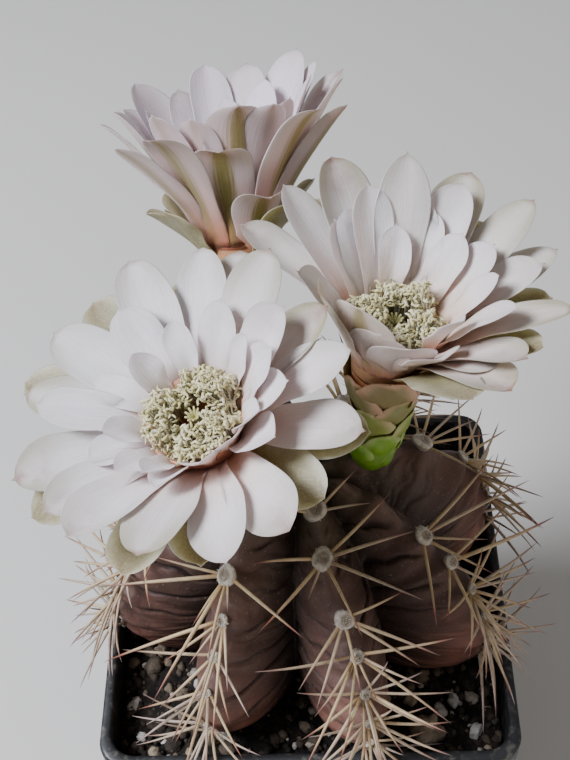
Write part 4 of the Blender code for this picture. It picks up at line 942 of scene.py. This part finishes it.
def stamenMaterial():
    # stamens: glassy pale filaments and dry creamy anthers dusted with pollen
    node, finish = newMaterial("pollenAnther", {
        "Roughness": 0.75, "IOR": 1.4, "Subsurface Weight": 0.15,
        "Subsurface Radius": (1.0, 0.9, 0.5), "Subsurface Scale": 0.5 * mm,
    })
    shade = node("MapRange", "shade", -1, 1)
    anther = node("Mix", shade, "#cbc391", "#e9e4bf")
    filament = node("Mix", shade, "#d9d2b4", "#ece9da")
    base = node("Mix", "anther", filament, anther)
    # pollen grains are some 0.03 mm; their dust is drawn coarse enough to show
    dust = node("TexNoise", "Object", 1 / (0.3 * mm), 3, rugged)
    base = node("Mix", node("MapRange", dust, 0.4, 0.66, 0, 0.5), base, "#b8ae78")
    relief = node("TexNoise", "Object", 1 / (0.22 * mm), 3, rugged)
    return finish({"Base Color": base, "Normal": node("Bump", 0.8, 0.2 * mm, None, relief)})


style = {"top": 9.2, "gap": 0.35, "thick": (1.04, 0.7, 0.8), "lobes": 9}  # in mm


def pistil(bloom):
    # the style, from the hollow's floor up, and a closed crown of stigma lobes
    foot, u, v, w = bloomAxes(bloom, bloom["tube"])
    low, top, lobes = style["gap"] - flower["hollow"], style["top"], style["lobes"]
    h = np.linspace(low, top, 12)
    path = foot + h[:, None] * w * mm
    thick = np.interp(h, [low, low + 3, top], style["thick"]) * mm
    stalk = tubes(path[None], thick[None], 14, {"along": 0.0})
    out = outwards(2 * np.pi * np.arange(lobes) / lobes, u, v)
    s = np.linspace(0, 1, 8)
    reach = (0.4 + 0.5 * s + 0.35 * s ** 3) * mm
    rise = (top - 0.6 + 2.2 * s) * mm
    paths = foot + reach[:, None] * out[:, None] + rise[:, None] * w
    thick = np.interp(s, [0, 0.6, 1], [0.36, 0.3, 0.14]) * mm
    crown = tubes(paths, np.broadcast_to(thick, (lobes, 8)), 7, {"along": s[None, :, None]})
    return joined([stalk, crown])


def pistilMaterial():
    # style and stigma: smooth pale green, the lobes velvety and yellower
    node, finish = newMaterial("stigmaVelvet", {
        "Roughness": 0.6, "IOR": 1.4, "Subsurface Weight": 0.2,
        "Subsurface Radius": (0.9, 1.0, 0.5), "Subsurface Scale": 1 * mm, "Sheen Weight": 0.3,
    })
    base = node("ValToRGB", "along", stops=[(0.0, "#a9a767"), (1.0, "#d3cb94")])
    cloud = node("TexNoise", "Object", 1 / (0.5 * mm), 3, rugged)
    base = node("Mix", node("MapRange", cloud, 0.4, 0.7, 0, 0.3), base, "#98a05a")
    relief = node("TexNoise", "Object", 1 / (0.2 * mm), 2, rugged)
    return finish({"Base Color": base, "Normal": node("Bump", 0.6, 0.1 * mm, None, relief)})


# the areoles' wool and spines, in mm
areoles = {
    "wool": (1.75, 1.75, 1.85, 1.35, 1.0, 0.9, 0.8, 0.7), "fibres": 92, "fibreLength": 0.5,
    "ring": 1.1, "root": 1.0, "bow": 0.13, "margin": 1.2, "bloomMargin": 2.8,
    "longestTepal": 1.2, "soilLevel": 67, "soilLumps": 0.7, "potTop": 75, "rimInner": 38,
    "spineRadius": 0.34, "reach": 50.0, "shortest": 4,
}
# for each spine: its turn from straight down the rib, its rise off the skin, its length
spineSets = {
    "upper": ((-98, 24, 17), (96, 24, 17), (-52, 27, 19), (48, 27, 18), (-16, 22, 14),
              (14, 30, 9), (-62, 50, 15), (66, 46, 14)),
    "lower": ((-82, 28, 15), (80, 28, 15), (0, 34, 14), (-115, 22, 12), (112, 22, 12),
              (-45, 26, 16), (42, 26, 16), (-18, 20, 13), (20, 40, 12), (-64, 52, 14),
              (66, 50, 15), (150, 40, 10), (-4, 56, 12)),
}
# the spines of the areoles that show best, by rib and place
spinesSeen = {
    (0, 2): ((-78, 22, 23), (-96, 22, 13), (-15, 30, 25), (69, 30, 22), (-24, 30, 10),
             (6, 38, 17), (20, 30, 6)),
    (0, 3): ((-60, 22, 24), (-39, 30, 13), (3, 30, 15), (18, 30, 21), (33, 38, 12.5),
             (-24, 30, 9)),
    (0, 4): ((-75, 22, 16), (-27, 22, 13), (70, 28, 12), (10, 34, 15), (-6, 26, 18),
             (42, 30, 12)),
    (0, 5): ((-57, 22, 14.5), (-36, 30, 17), (-45, 38, 12), (62, 28, 13), (24, 28, 14),
             (4, 24, 17), (-14, 34, 12)),
    (1, 0): ((81, 30, 10), (-81, 38, 6), (117, 30, 11.5), (-132, 30, 5)),
    (1, 1): ((-99, 30, 13.5), (-51, 22, 17), (-33, 30, 8), (117, 30, 16.5), (93, 30, 17),
             (51, 30, 19), (12, 22, 15)),
    (1, 2): ((-66, 30, 14.5), (-57, 22, 7), (-42, 22, 15), (51, 22, 17), (42, 30, 15.5),
             (-9, 22, 13), (96, 28, 12)),
    (2, 1): ((72, 22, 8), (60, 30, 14), (0, 22, 13.5), (-45, 30, 9.5), (-100, 26, 9)),
    (2, 2): ((-63, 22, 17), (66, 30, 23), (87, 38, 20), (27, 38, 11), (-6, 38, 13.5)),
    (2, 3): ((-42, 30, 15), (9, 30, 12), (60, 30, 22), (84, 26, 16), (-76, 26, 12)),
    (3, 0): ((58, 32, 15), (-30, 25, 9), (172, 25, 10), (-72, 25, 12), (14, 26, 12)),
    (3, 1): ((50, 30, 17), (12, 25, 18), (-6, 22, 15), (82, 40, 14), (-52, 25, 12),
             (30, 45, 15)),
    (3, 2): ((60, 38, 16), (27, 34, 15), (-14, 30, 14), (96, 35, 12), (-60, 26, 14),
             (2, 46, 12)),
    (3, 3): ((66, 44, 15), (32, 48, 13), (-10, 42, 12), (-60, 32, 14), (102, 32, 12),
             (-34, 44, 12)),
    (7, 1): ((-60, 34, 16), (-24, 30, 17), (10, 28, 15), (50, 30, 13), (-98, 34, 12)),
    (7, 2): ((-58, 42, 16), (-22, 38, 16), (16, 36, 15), (58, 30, 14), (-100, 30, 12),
             (0, 52, 12)),
}


def crestFrame(rib, place):
    # an areole's point on a crest, and the directions out, down and across there
    turn = stem["firstRib"] + 45 * rib
    angle = stem["areoles"].get(rib, stem["usual"])[place]
    point, below = stemSkin(np.array([angle, angle + 1.0]), np.array([turn, turn]))
    down = unit(below - point)
    around = math.atan2(point[1], point[0])
    across = np.array([-math.sin(around), math.cos(around), 0])
    out = unit(np.cross(down, across))
    return point, out, down, np.cross(out, down)


def tepalLine(bloom):
    # radius and height in mm of the longest outer tepals' midline
    _, root, length, _, spread = bloom["tepals"]
    fine = np.linspace(0, 1, 41)
    lean = np.radians(spread[0] + (spread[1] - spread[0]) * (1 - (1 - fine) ** 2.2))
    middle = (lean[1:] + lean[:-1]) / 2
    step = length * areoles["longestTepal"] / 40
    r = np.concatenate([[0], np.cumsum(np.sin(middle))]) * step + flower["tubeRadius"]
    h = np.concatenate([[0], np.cumsum(np.cos(middle))]) * step + root + bloom["tube"]
    return r, h


def clearOfBlooms(points):
    # true where every point is below or outside each bloom
    keep = areoles["bloomMargin"]
    fine = np.ones(len(points), bool)
    for bloom in blooms.values():
        foot, _, _, w = bloomAxes(bloom)
        h = (points - foot) @ w / mm
        r = np.linalg.norm(points - foot - (h * mm)[:, None] * w, axis=1) / mm
        lineR, lineH = tepalLine(bloom)
        under = h < np.interp(r, lineR, lineH) - keep
        beside = (r > flower["tubeRadius"] + keep) & (under | (r > lineR[-1] + keep))
        fine &= (h < -keep) | beside
    return bool(fine.all())


def clearOfPot(points):
    # true where every point keeps its distance from the pot's rim and the soil
    keep = areoles["margin"] * mm
    wide = np.abs(points[:, :2]).max(axis=1)
    overRim = wide > areoles["rimInner"] * mm - keep
    hitsRim = overRim & (points[:, 2] < areoles["potTop"] * mm + keep)
    hitsSoil = points[:, 2] < (areoles["soilLevel"] + areoles["soilLumps"]) * mm + keep
    return not (hitsRim | hitsSoil).any()


def spineCourse(point, out, down, across, spine, draw, exact):
    # a heading and length at which the spine is clear, lifted in steps of 7 degrees
    turn, rise, length = spine
    change = draw.uniform(-1, 1, 3) * (0.1 if exact else 1.0)
    turn = math.radians(turn + 12 * change[0])
    length = length * mm * (1 + 0.14 * change[2])
    share = np.array([0.3, 0.5, 0.7, 0.85, 1.0])[:, None]
    for lift in range(0, 50, 7):
        up = math.radians(rise + 7 * change[1] + lift)
        flat = down * math.cos(turn) + across * math.sin(turn)
        heading = flat * math.cos(up) + out * math.sin(up)
        reach = length * (1 - 0.006 * lift)
        wide = np.abs(point[:2] + heading[:2] * reach).max()
        reach *= min(1, (areoles["reach"] * mm - np.abs(point[:2]).max())
                     / max(wide - np.abs(point[:2]).max(), 1e-6))
        if reach < areoles["shortest"] * mm:
            continue
        course = point + heading * reach * share - out * areoles["bow"] * reach * share ** 2
        if clearOfPot(course) and clearOfBlooms(course):
            return heading, reach
    return None


def spineTubes(starts, headings, lengths, bows, tints, thicks):
    # curved tapering tubes, bowed by the square of the share along them and a little aside
    s = np.linspace(0, 1, 12)
    straight = headings[:, None] * (lengths[:, None] * s)[..., None]
    change = np.random.default_rng(77).uniform(-1, 1, (len(starts), 2))
    bow = areoles["bow"] * (1 + 0.6 * change[:, 0]) * lengths
    bow = bows[:, None] * (bow[:, None] * s ** 2)[..., None]
    aside = np.cross(headings, bows)[:, None] * (0.07 * change[:, 1] * lengths)[:, None, None]
    paths = starts[:, None] + straight + bow + aside * (s ** 2)[:, None]
    taper = np.interp(s, [0, 0.1, 0.45, 0.8, 0.93, 1], [1.15, 0.95, 0.85, 0.5, 0.26, 0.06])
    radii = areoles["spineRadius"] * mm * taper * thicks[:, None]
    return tubes(paths, radii, 7, {"along": s[None, :, None], "tint": tints[:, None, None]})


def spinesAndWool():
    # every areole's spines, each with its start, heading, length, the way it bows, tint and
    # thickness, and its wool as a fuzzy cushion
    spines, centres, axesOf = [], [], []
    for rib in range(8):
        for place in range(len(stem["usual"])):
            point, out, down, across = crestFrame(rib, place)
            draw = np.random.default_rng(100 * rib + place)
            if not clearOfBlooms((point + out * 3 * mm)[None]):
                continue
            size = areoles["wool"][place] * mm * (1 + 0.12 * draw.uniform(-1, 1))
            centres.append(point + out * 0.15 * size)
            axesOf.append([across * size, down * size * 1.1, out * size * 0.6])
            seen = spinesSeen.get((rib, place), ())
            usual = spineSets["lower" if place > 3 else "upper"] if place else ()
            for spine in seen or usual:
                course = spineCourse(point, out, down, across, spine, draw, bool(seen))
                if course is None:
                    continue
                heading, length = course
                aside = unit(heading - (heading @ out) * out)
                root = areoles["root"] * mm
                start = point + aside * areoles["ring"] * mm - heading * root
                tint = draw.uniform(0, 0.6) + 0.1 * max(place - 3, 0)
                thick = np.clip(0.6 + length / (40 * mm), 0.6, 1.15)
                thick = thick * (1 + 0.12 * draw.uniform(-1, 1))
                spines.append((start, heading, length + root, -out, tint, thick))
    centres, axesOf = np.array(centres), np.array(axesOf)
    polar = np.linspace(0, np.pi, 15)
    rim = np.exp(-(((polar - 0.95) / 0.42) ** 2))[None, :, None]
    cushions = blobs(centres, axesOf, 15, 20, 0.25, 31, {"fibre": 0.0, "rim": rim}, 0.5)
    wool = joined([cushions, woolFibres(centres, axesOf)])
    return spineTubes(*(np.array(column) for column in zip(*spines))), wool


def woolFibres(centres, axes):
    # short curled hairs that leave each cushion's dome outwards and bend over
    count = areoles["fibres"]
    draw = np.random.default_rng(41)
    way = draw.normal(0, 1, (len(centres), count, 3))
    way[..., 2] = np.abs(way[..., 2]) * 0.9 + 0.1
    way = unit(way)
    leave = np.einsum("nck,nkj->ncj", way, axes)
    start = (centres[:, None] + leave * 0.85).reshape(-1, 3)
    bend = unit(draw.normal(0, 1, start.shape))
    size = np.repeat(np.linalg.norm(axes[:, 0], axis=1), count)
    length = areoles["fibreLength"] * 0.5 * size * draw.uniform(0.6, 1.2, len(start))
    s = np.linspace(0, 1, 5)[None, :, None]
    heading = unit(leave.reshape(-1, 3))
    paths = start[:, None] + length[:, None, None] * (
        heading[:, None] * s * (1 - 0.3 * s) + bend[:, None] * 0.9 * s ** 2
    )
    radii = np.interp(np.linspace(0, 1, 5), [0, 1], [0.06, 0.025]) * mm
    values = {"fibre": 1.0, "rim": 1.0}
    return tubes(paths, np.broadcast_to(radii, (len(start), 5)), 3, values)


def spineMaterial():
    # spine: hard dry fibre, straw to tan, brown at the root and dark red at the tip, greyed
    # by weather on the old low ones
    node, finish = newMaterial("dryStrawSpine", {
        "Roughness": 0.45, "IOR": 1.5, "Subsurface Weight": 0.05,
        "Subsurface Scale": 0.4 * mm,
    })
    base = node("ValToRGB", "along", stops=[
        (0.0, "#6f4c34"), (0.07, "#a98a5c"), (0.3, "#c9b48c"), (0.7, "#b59a78"),
        (0.84, "#85493c"), (1.0, "#30120f"),
    ])
    base = node("Mix", node("MapRange", "tint", 0.15, 0.9, 0, 0.75), base, "#ada098")
    streak = node("TexNoise", "Object", 1 / (1.2 * mm), 4, rugged)
    base = node("Mix", node("MapRange", streak, 0.38, 0.66, 0, 0.3), base, "#8a6c4c")
    relief = node("TexNoise", "Object", 1 / (0.35 * mm), 3, rugged)
    return finish({"Base Color": base, "Normal": node("Bump", 0.5, 0.08 * mm, None, relief)})


def woolMaterial():
    # areole wool: dense felt of white-grey hairs, darker brown in its dimpled middle and
    # underneath
    node, finish = newMaterial("areoleFelt", {
        "Roughness": 0.95, "Specular IOR Level": 0.2, "Sheen Weight": 0.5,
        "Sheen Roughness": 0.5,
    })
    cloud = node("TexNoise", "Object", 1 / (1.1 * mm), 4, rugged)
    base = node("ValToRGB", cloud, stops=[
        (0.3, "#9a8d7e"), (0.5, "#c9c0b1"), (0.72, "#e6e1d6"),
    ])
    base = node("Mix", node("MapRange", "rim", 0.75, 0.1, 0, 0.8), base, "#7d6c58")
    base = node("Mix", node("Math", "fibre", 0.5), base, "#e6e1d6")
    relief = node("TexNoise", "Object", 1 / (0.3 * mm), 3, rugged)
    return finish({"Base Color": base, "Normal": node("Bump", 1.0, 0.3 * mm, None, relief)})


# the pot, in mm
pot = {
    "height": 75, "rimHalf": 40, "innerHalf": 38, "band": 7, "wall": 1.2, "baseHalf": 30,
    "floor": 1.6, "corner": 5, "cornerSteps": 9, "step": 0.6, "edge": 0.5, "footRound": 0.8,
    "drain": 3.2, "drainPlace": 17,
}


def squareRing(half, z):
    # a ring of points round a round-cornered square, in mm
    centre = half - pot["corner"]
    middle = np.radians(45 + 90 * np.arange(4))
    swing = np.radians(np.linspace(-45, 45, pot["cornerSteps"] + 1))
    turn = (middle[:, None] + swing).ravel()
    side = np.repeat(middle, pot["cornerSteps"] + 1)
    x = centre * np.sign(np.cos(side)) + pot["corner"] * np.cos(turn)
    y = centre * np.sign(np.sin(side)) + pot["corner"] * np.sin(turn)
    return np.column_stack([x, y, np.full(len(x), float(z))]) * mm


def potBody():
    # a tapered square shell: up the outside, over the rim band and down the inside
    top, band = pot["height"], pot["height"] - pot["band"]
    outer, inner, base = pot["rimHalf"], pot["innerHalf"], pot["baseHalf"]
    below = inner + pot["wall"] - pot["step"]
    bevel = pot["edge"] * (1 - math.cos(math.radians(45)))
    profile = [
        (base - pot["footRound"], 0), (base - 0.25, 0.2), (base, pot["footRound"]),
        (base + (below - base) * 0.5, band * 0.5), (below, band - 0.3), (below + 0.1, band),
        (outer - 0.15, band + 0.35), (outer, band + pot["step"]), (outer, top - 3),
        (outer, top - pot["edge"]), (outer - bevel, top - bevel), (outer - pot["edge"], top),
        (inner + pot["edge"], top), (inner + bevel, top - bevel), (inner, top - pot["edge"]),
        (inner, top - 3), (inner, band), (inner - 0.2, band - 0.5),
        (base - pot["wall"] + 0.3, pot["floor"] + 2), (base - pot["wall"], pot["floor"]),
    ]
    rings = np.array([squareRing(half, z) for half, z in profile])
    level = np.array([z for _, z in profile]) / top
    ends = rings.mean(axis=1)
    return loftMany(rings[None], ends[:1], ends[-1:], {"level": level[None, :, None]})


def drillDrains(piece):
    # four round holes through the floor, cut with one Boolean each and applied
    for corner in range(4):
        turn = math.radians(45 + 90 * corner)
        far = pot["drainPlace"] * math.sqrt(2) * mm
        bpy.ops.mesh.primitive_cylinder_add(
            vertices=28, radius=pot["drain"] * mm, depth=8 * mm,
            location=(far * math.cos(turn), far * math.sin(turn), 0),
        )
        cutter = bpy.context.object
        cut = piece.modifiers.new("drain", "BOOLEAN")
        cut.operation = "DIFFERENCE"
        cut.solver = "EXACT"
        cut.object = cutter
        graph = bpy.context.evaluated_depsgraph_get()
        drilled = bpy.data.meshes.new_from_object(piece.evaluated_get(graph))
        piece.modifiers.clear()
        piece.data = drilled
        bpy.data.objects.remove(cutter)


def potMaterial():
    # moulded black polypropylene: satin, faintly pebbled, with dry dust on rim and ledges
    node, finish = newMaterial("mouldedPolypropylene", {"Roughness": 0.42, "IOR": 1.49})
    cloud = node("TexNoise", "Object", 1 / (9 * mm), 5, rugged)
    base = node("ValToRGB", cloud, stops=[(0.3, "#1b1c1e"), (0.7, "#252628")])
    dust = node("TexNoise", "Object", 1 / (1.6 * mm), 6, rugged)
    top = node("Math", node("Math", node("MapRange", "level", 0.9, 1.0), 0.5), 0.25,
               operation="ADD")
    dust = node("Math", node("MapRange", dust, 0.5, 0.72, 0, 0.5), top)
    base = node("Mix", dust, base, "#7e786c")
    rough = node("TexNoise", "Object", 1 / (2.5 * mm), 4, rugged)
    relief = node("TexNoise", "Object", 1 / (0.6 * mm), 3, rugged)
    return finish({
        "Base Color": base, "Roughness": node("MapRange", rough, 0.3, 0.7, 0.34, 0.55),
        "Normal": node("Bump", 0.5, 0.05 * mm, None, relief),
    })


# the soil's bed, its grains and its stones, in mm
soil = {
    "level": 67, "gap": 0.35, "rings": 34, "columns": 200, "relief": 0.9,
    "grains": 1300, "grainSize": (0.4, 1.2), "stones": 90, "stoneSize": (1.0, 1.9),
    # single stones that show: place, radius and shade, from dark to white
    "placed": ((23.0, -31.4, 2.7, 0.66), (30.1, -28.2, 2.2, 0.95), (25.8, -27.3, 1.7, 0.85),
               (29.0, -24.9, 1.6, 0.9), (-35.2, -24.8, 1.5, 0.9), (-33.1, -31.5, 1.3, 0.85),
               (20.1, -24.7, 1.8, 0.6), (32.5, -31.5, 1.5, 0.92)),
}


def wallReach(turn, half):
    # the distance in mm from the middle of a round-cornered square to its side
    corner = pot["corner"]
    across, along = np.abs(np.cos(turn)), np.abs(np.sin(turn))
    flat = half / np.maximum(across, along)
    centre = half - corner
    lean = centre * (across + along)
    rounded = lean + np.sqrt(np.maximum(lean ** 2 - 2 * centre ** 2 + corner ** 2, 0))
    return np.where(np.minimum(across, along) * flat > centre, rounded, flat)


def potInside(z):
    # half the width in mm of the pot's inside, below the rim band
    share = (z - pot["floor"]) / (pot["height"] - pot["band"] - pot["floor"])
    low = pot["baseHalf"] - pot["wall"]
    return low + (pot["innerHalf"] - low) * np.clip(share, 0, 1)


def soilBody():
    # the soil fills the pot: its top is lumpy, and it dips into a hole round the stem's foot
    turn = np.linspace(0, 360, soil["columns"], endpoint=False)
    around = np.radians(turn)
    out = np.stack([np.cos(around), np.sin(around)], -1)
    rings = []
    for z in (pot["floor"] + soil["gap"], soil["level"] - 4, soil["level"]):
        reach = wallReach(around, potInside(z) - soil["gap"])
        rings.append(np.column_stack([out * reach[:, None] * mm, np.full(len(turn), z * mm)]))
    skin = stemSkin(np.full(len(turn), 120.0), turn)
    gap = soil["gap"] * mm
    mouth = out * (np.linalg.norm(skin[:, :2], axis=1) + gap)[:, None]
    share = np.linspace(0, 1, soil["rings"])[1:, None, None]
    flat = rings[-1][None, :, :2] * (1 - share) + mouth[None] * share
    points = np.concatenate([flat, np.full((*flat.shape[:2], 1), soil["level"] * mm)], -1)
    lumps = roughness3d(points, 5 * mm, 91, 4) * soil["relief"] * mm
    points[..., 2] += lumps * np.clip(1 - np.abs(share[..., 0] - 0.5) * 2, 0, 1) ** 0.3
    hole = []
    for step, angle in enumerate((128.0, 136.0, 146.0, 156.0)):
        ring = stemSkin(np.full(len(turn), angle), turn)
        ring[:, :2] += out * gap * (1.5 + step * 0.5)
        ring[:, 2] -= gap * (0.7 + step * 0.5)
        hole.append(ring)
    neck = out * (stem["neck"] + 3 * gap)
    ends = (hole[-1][0, 2] - stem["neckSlope"], stem["neckEnd"] - gap)
    necks = [np.column_stack([neck, np.full(len(turn), z)]) for z in ends]
    allRings = np.concatenate([np.array(rings), points, np.array(hole), np.array(necks)])
    ended = allRings.mean(axis=1)
    return loftMany(allRings[None], ended[:1], ended[-1:], {"tint": 0.0, "bulk": 1.0})


def stonesOnSoil(count, sizes, seed, rows, corners, placed=()):
    # stones at seeded places on the soil that are clear of the pot's wall and the stem, and
    # the placed ones: each a lumpy ball with three axes of its own
    draw = np.random.default_rng(seed)
    spot = draw.uniform(-38, 38, (count * 8, 2))
    size = sizes[0] + (sizes[1] - sizes[0]) * draw.uniform(0, 1, len(spot)) ** 2.2
    turn = np.arctan2(spot[:, 1], spot[:, 0])
    r = np.linalg.norm(spot, axis=1)
    wall = wallReach(turn, potInside(soil["level"]) - soil["gap"])
    skin = stemSkin(np.full(len(turn), 120.0), np.degrees(turn))
    foot = np.linalg.norm(skin[:, :2], axis=1) / mm
    keep = (r < wall - size * 0.9) & (r > foot + size * 0.75)
    spot, size = spot[keep][:count], size[keep][:count]
    tint = draw.uniform(0, 0.95, len(spot)) ** 3.2
    for x, y, radius, shade in placed:
        clear = np.hypot(spot[:, 0] - x, spot[:, 1] - y) > radius + size
        spot = np.concatenate([spot[clear], [[x, y]]])
        size = np.append(size[clear], radius)
        tint = np.append(tint[clear], shade)
    change = draw.uniform(-1, 1, (len(spot), 6))
    middle = np.column_stack([spot, soil["level"] + size * (0.12 + 0.16 * change[:, 0])]) * mm
    way = unit(draw.normal(0, 1, (len(spot), 3)))
    other = unit(np.cross(way, draw.normal(0, 1, (len(spot), 3))))
    third = np.cross(way, other)
    stretch = 1 + 0.26 * change[:, 1:4]
    axes = np.stack([way, other, third], 1) * (size[:, None] * stretch)[..., None] * mm
    values = {"tint": tint[:, None, None], "bulk": 0.0}
    return blobs(middle, axes, rows, corners, 0.3, seed + 1, values)


def soilMaterial():
    # soil: near-black damp humus; stones: white perlite, grey grit and tan gravel
    node, finish = newMaterial("humusAndGrit", {"Roughness": 0.9, "Specular IOR Level": 0.25})
    earth = node("TexNoise", "Object", 1 / (2.2 * mm), 6, rugged)
    earth = node("ValToRGB", earth, stops=[
        (0.34, "#0f0d0b"), (0.54, "#211b17"), (0.7, "#3a3027"), (0.85, "#6b5f51"),
    ])
    stone = node("ValToRGB", "tint", stops=[
        (0.0, "#26211d"), (0.2, "#433b33"), (0.45, "#6e6253"), (0.66, "#a1927d"),
        (0.8, "#b5b0a7"), (1.0, "#d8d6d0"),
    ])
    stain = node("TexNoise", "Object", 1 / (1.4 * mm), 5, rugged)
    stone = node("Mix", node("MapRange", stain, 0.42, 0.7, 0, 0.55), stone, "#4b4138")
    base = node("Mix", "bulk", stone, earth)
    relief = node("TexNoise", "Object", 1 / (0.9 * mm), 6, rugged)
    return finish({"Base Color": base, "Normal": node("Bump", 0.9, 0.5 * mm, None, relief)})


potPiece = putPiece("potShell", potBody(), potMaterial(), "pot_plastic", "pot")
drillDrains(potPiece)
grit = soilMaterial()
putPiece("soilBed", soilBody(), grit, "soil_grit", "soil")
putPiece("soilStones", joined([
    stonesOnSoil(soil["stones"], soil["stoneSize"], 301, 9, 12, soil["placed"]),
    stonesOnSoil(soil["grains"], soil["grainSize"], 302, 4, 6),
]), grit, "soil_grit", "soil")
putPiece("stemBody", stemBody(), stemSkinMaterial(), "stem_skin", "stem")
spines, wool = spinesAndWool()
putPiece("stemSpines", spines, spineMaterial(), "stem_skin", "stem")
putPiece("areoleWool", wool, woolMaterial(), "stem_skin", "stem")

petalFinish, tepalFinish = petalMaterial(), tepalMaterial()
greenFinish, stamenFinish, pistilFinish = greenMaterial(), stamenMaterial(), pistilMaterial()
for side, bloom in blooms.items():
    draw = np.random.default_rng(bloom["seed"])
    node = f"bloom_{side}_"
    title = f"{side}Bloom"
    putPiece(title + "Tube", greenTube(bloom), greenFinish, "bloom_green", node + "tube")
    outer = [throatRing(bloom, 0.0, 4.6, (0.0, 0.0, 0.3), (1.4, 1.4, 1.4)), tepals(bloom, draw)]
    putPiece(title + "Tepals", joined(outer), tepalFinish, "tepal_olive", node + "tepals")
    inner = [throatRing(bloom, 4.2, 9.4, (0.1, 0.25, 0.75), (1.4, 1.4, 1.05)), petals(bloom)]
    putPiece(title + "Petals", joined(inner), petalFinish, "petal_white", node + "petals")
    putPiece(title + "Stamens", stamens(bloom, draw), stamenFinish, "stamen_cream",
             node + "stamens")
    putPiece(title + "Pistil", pistil(bloom), pistilFinish, "pistil_cream", node + "pistil")
    print("bloom made:", side)


# the photograph's camera, in mm and degrees: its place, its turns about x, y and z from
# looking straight down, its lens and its sensor
view = {
    "place": (4.6, -118.4, 289.1), "turns": (38.3846, 2.4569, -0.0024), "lens": 54.91,
    "sensor": 36,
}
camera = bpy.data.cameras.new("photoCamera")
camera.lens, camera.sensor_width, camera.sensor_fit = view["lens"], view["sensor"], "AUTO"
camera.clip_start = 0.01
eye = bpy.data.objects.new("photoCamera", camera)
bpy.context.scene.collection.objects.link(eye)
turned = Euler(np.radians(view["turns"]).tolist())
eye.matrix_world = Matrix.LocRotScale(Vector(view["place"]) * mm, turned, None)
bpy.context.scene.camera = eye


# in metres: how far the floor reaches, and each light's place, aim, size, power and colour
studio = {
    "floorReach": 8.0, "air": "#dfe3ea", "airStrength": 0.3,
    "lights": {
        "windowLight": ((-0.44, -0.08, 0.66), (0, 0, 0.13), 0.26, 10.5, "#f2f5ff"),
        "fillLight": ((0.6, -0.45, 0.35), (0, 0, 0.1), 0.5, 1.3, "#ffe9d2"),
    },
}


def paleFloor():
    # a flat square of matt pale paper, large enough to fill the view from all sides
    reach = studio["floorReach"]
    corners = [(-reach, -reach, 0), (reach, -reach, 0), (reach, reach, 0), (-reach, reach, 0)]
    mesh = bpy.data.meshes.new("studioFloor")
    mesh.from_pydata(corners, [], [(0, 1, 2, 3)])
    node, finish = newMaterial("mattStudioPaper", {"Roughness": 0.9})
    cloud = node("TexNoise", "Object", 1 / 0.4, 2, rugged)
    paper = node("ValToRGB", cloud, stops=[(0.3, "#cfcdc8"), (0.7, "#d4d2cd")])
    mesh.materials.append(finish({"Base Color": paper}))
    floor = bpy.data.objects.new("studioFloor", mesh)
    bpy.context.scene.collection.objects.link(floor)


def softLight(name, place, aim, size, power, colour):
    # a large soft area light at place, turned to face aim
    light = bpy.data.lights.new(name, "AREA")
    light.size, light.energy, light.color = size, power, hexColour(colour)[:3]
    lamp = bpy.data.objects.new(name, light)
    bpy.context.scene.collection.objects.link(lamp)
    back = unit(np.array(place) - np.array(aim))
    side = unit(np.cross([0.0, 1.0, 0.1], back))
    turned = Matrix(np.column_stack([side, np.cross(back, side), back]).tolist()).to_4x4()
    turned.translation = place
    lamp.matrix_world = turned


paleFloor()
for name, settings in studio["lights"].items():
    softLight(name, *settings)
world = bpy.data.worlds.new("studioAir")
world.use_nodes = True
sky = world.node_tree.nodes["Background"]
sky.inputs["Color"].default_value = hexColour(studio["air"])
sky.inputs["Strength"].default_value = studio["airStrength"]
bpy.context.scene.world = world
print("camera, floor and lights set")
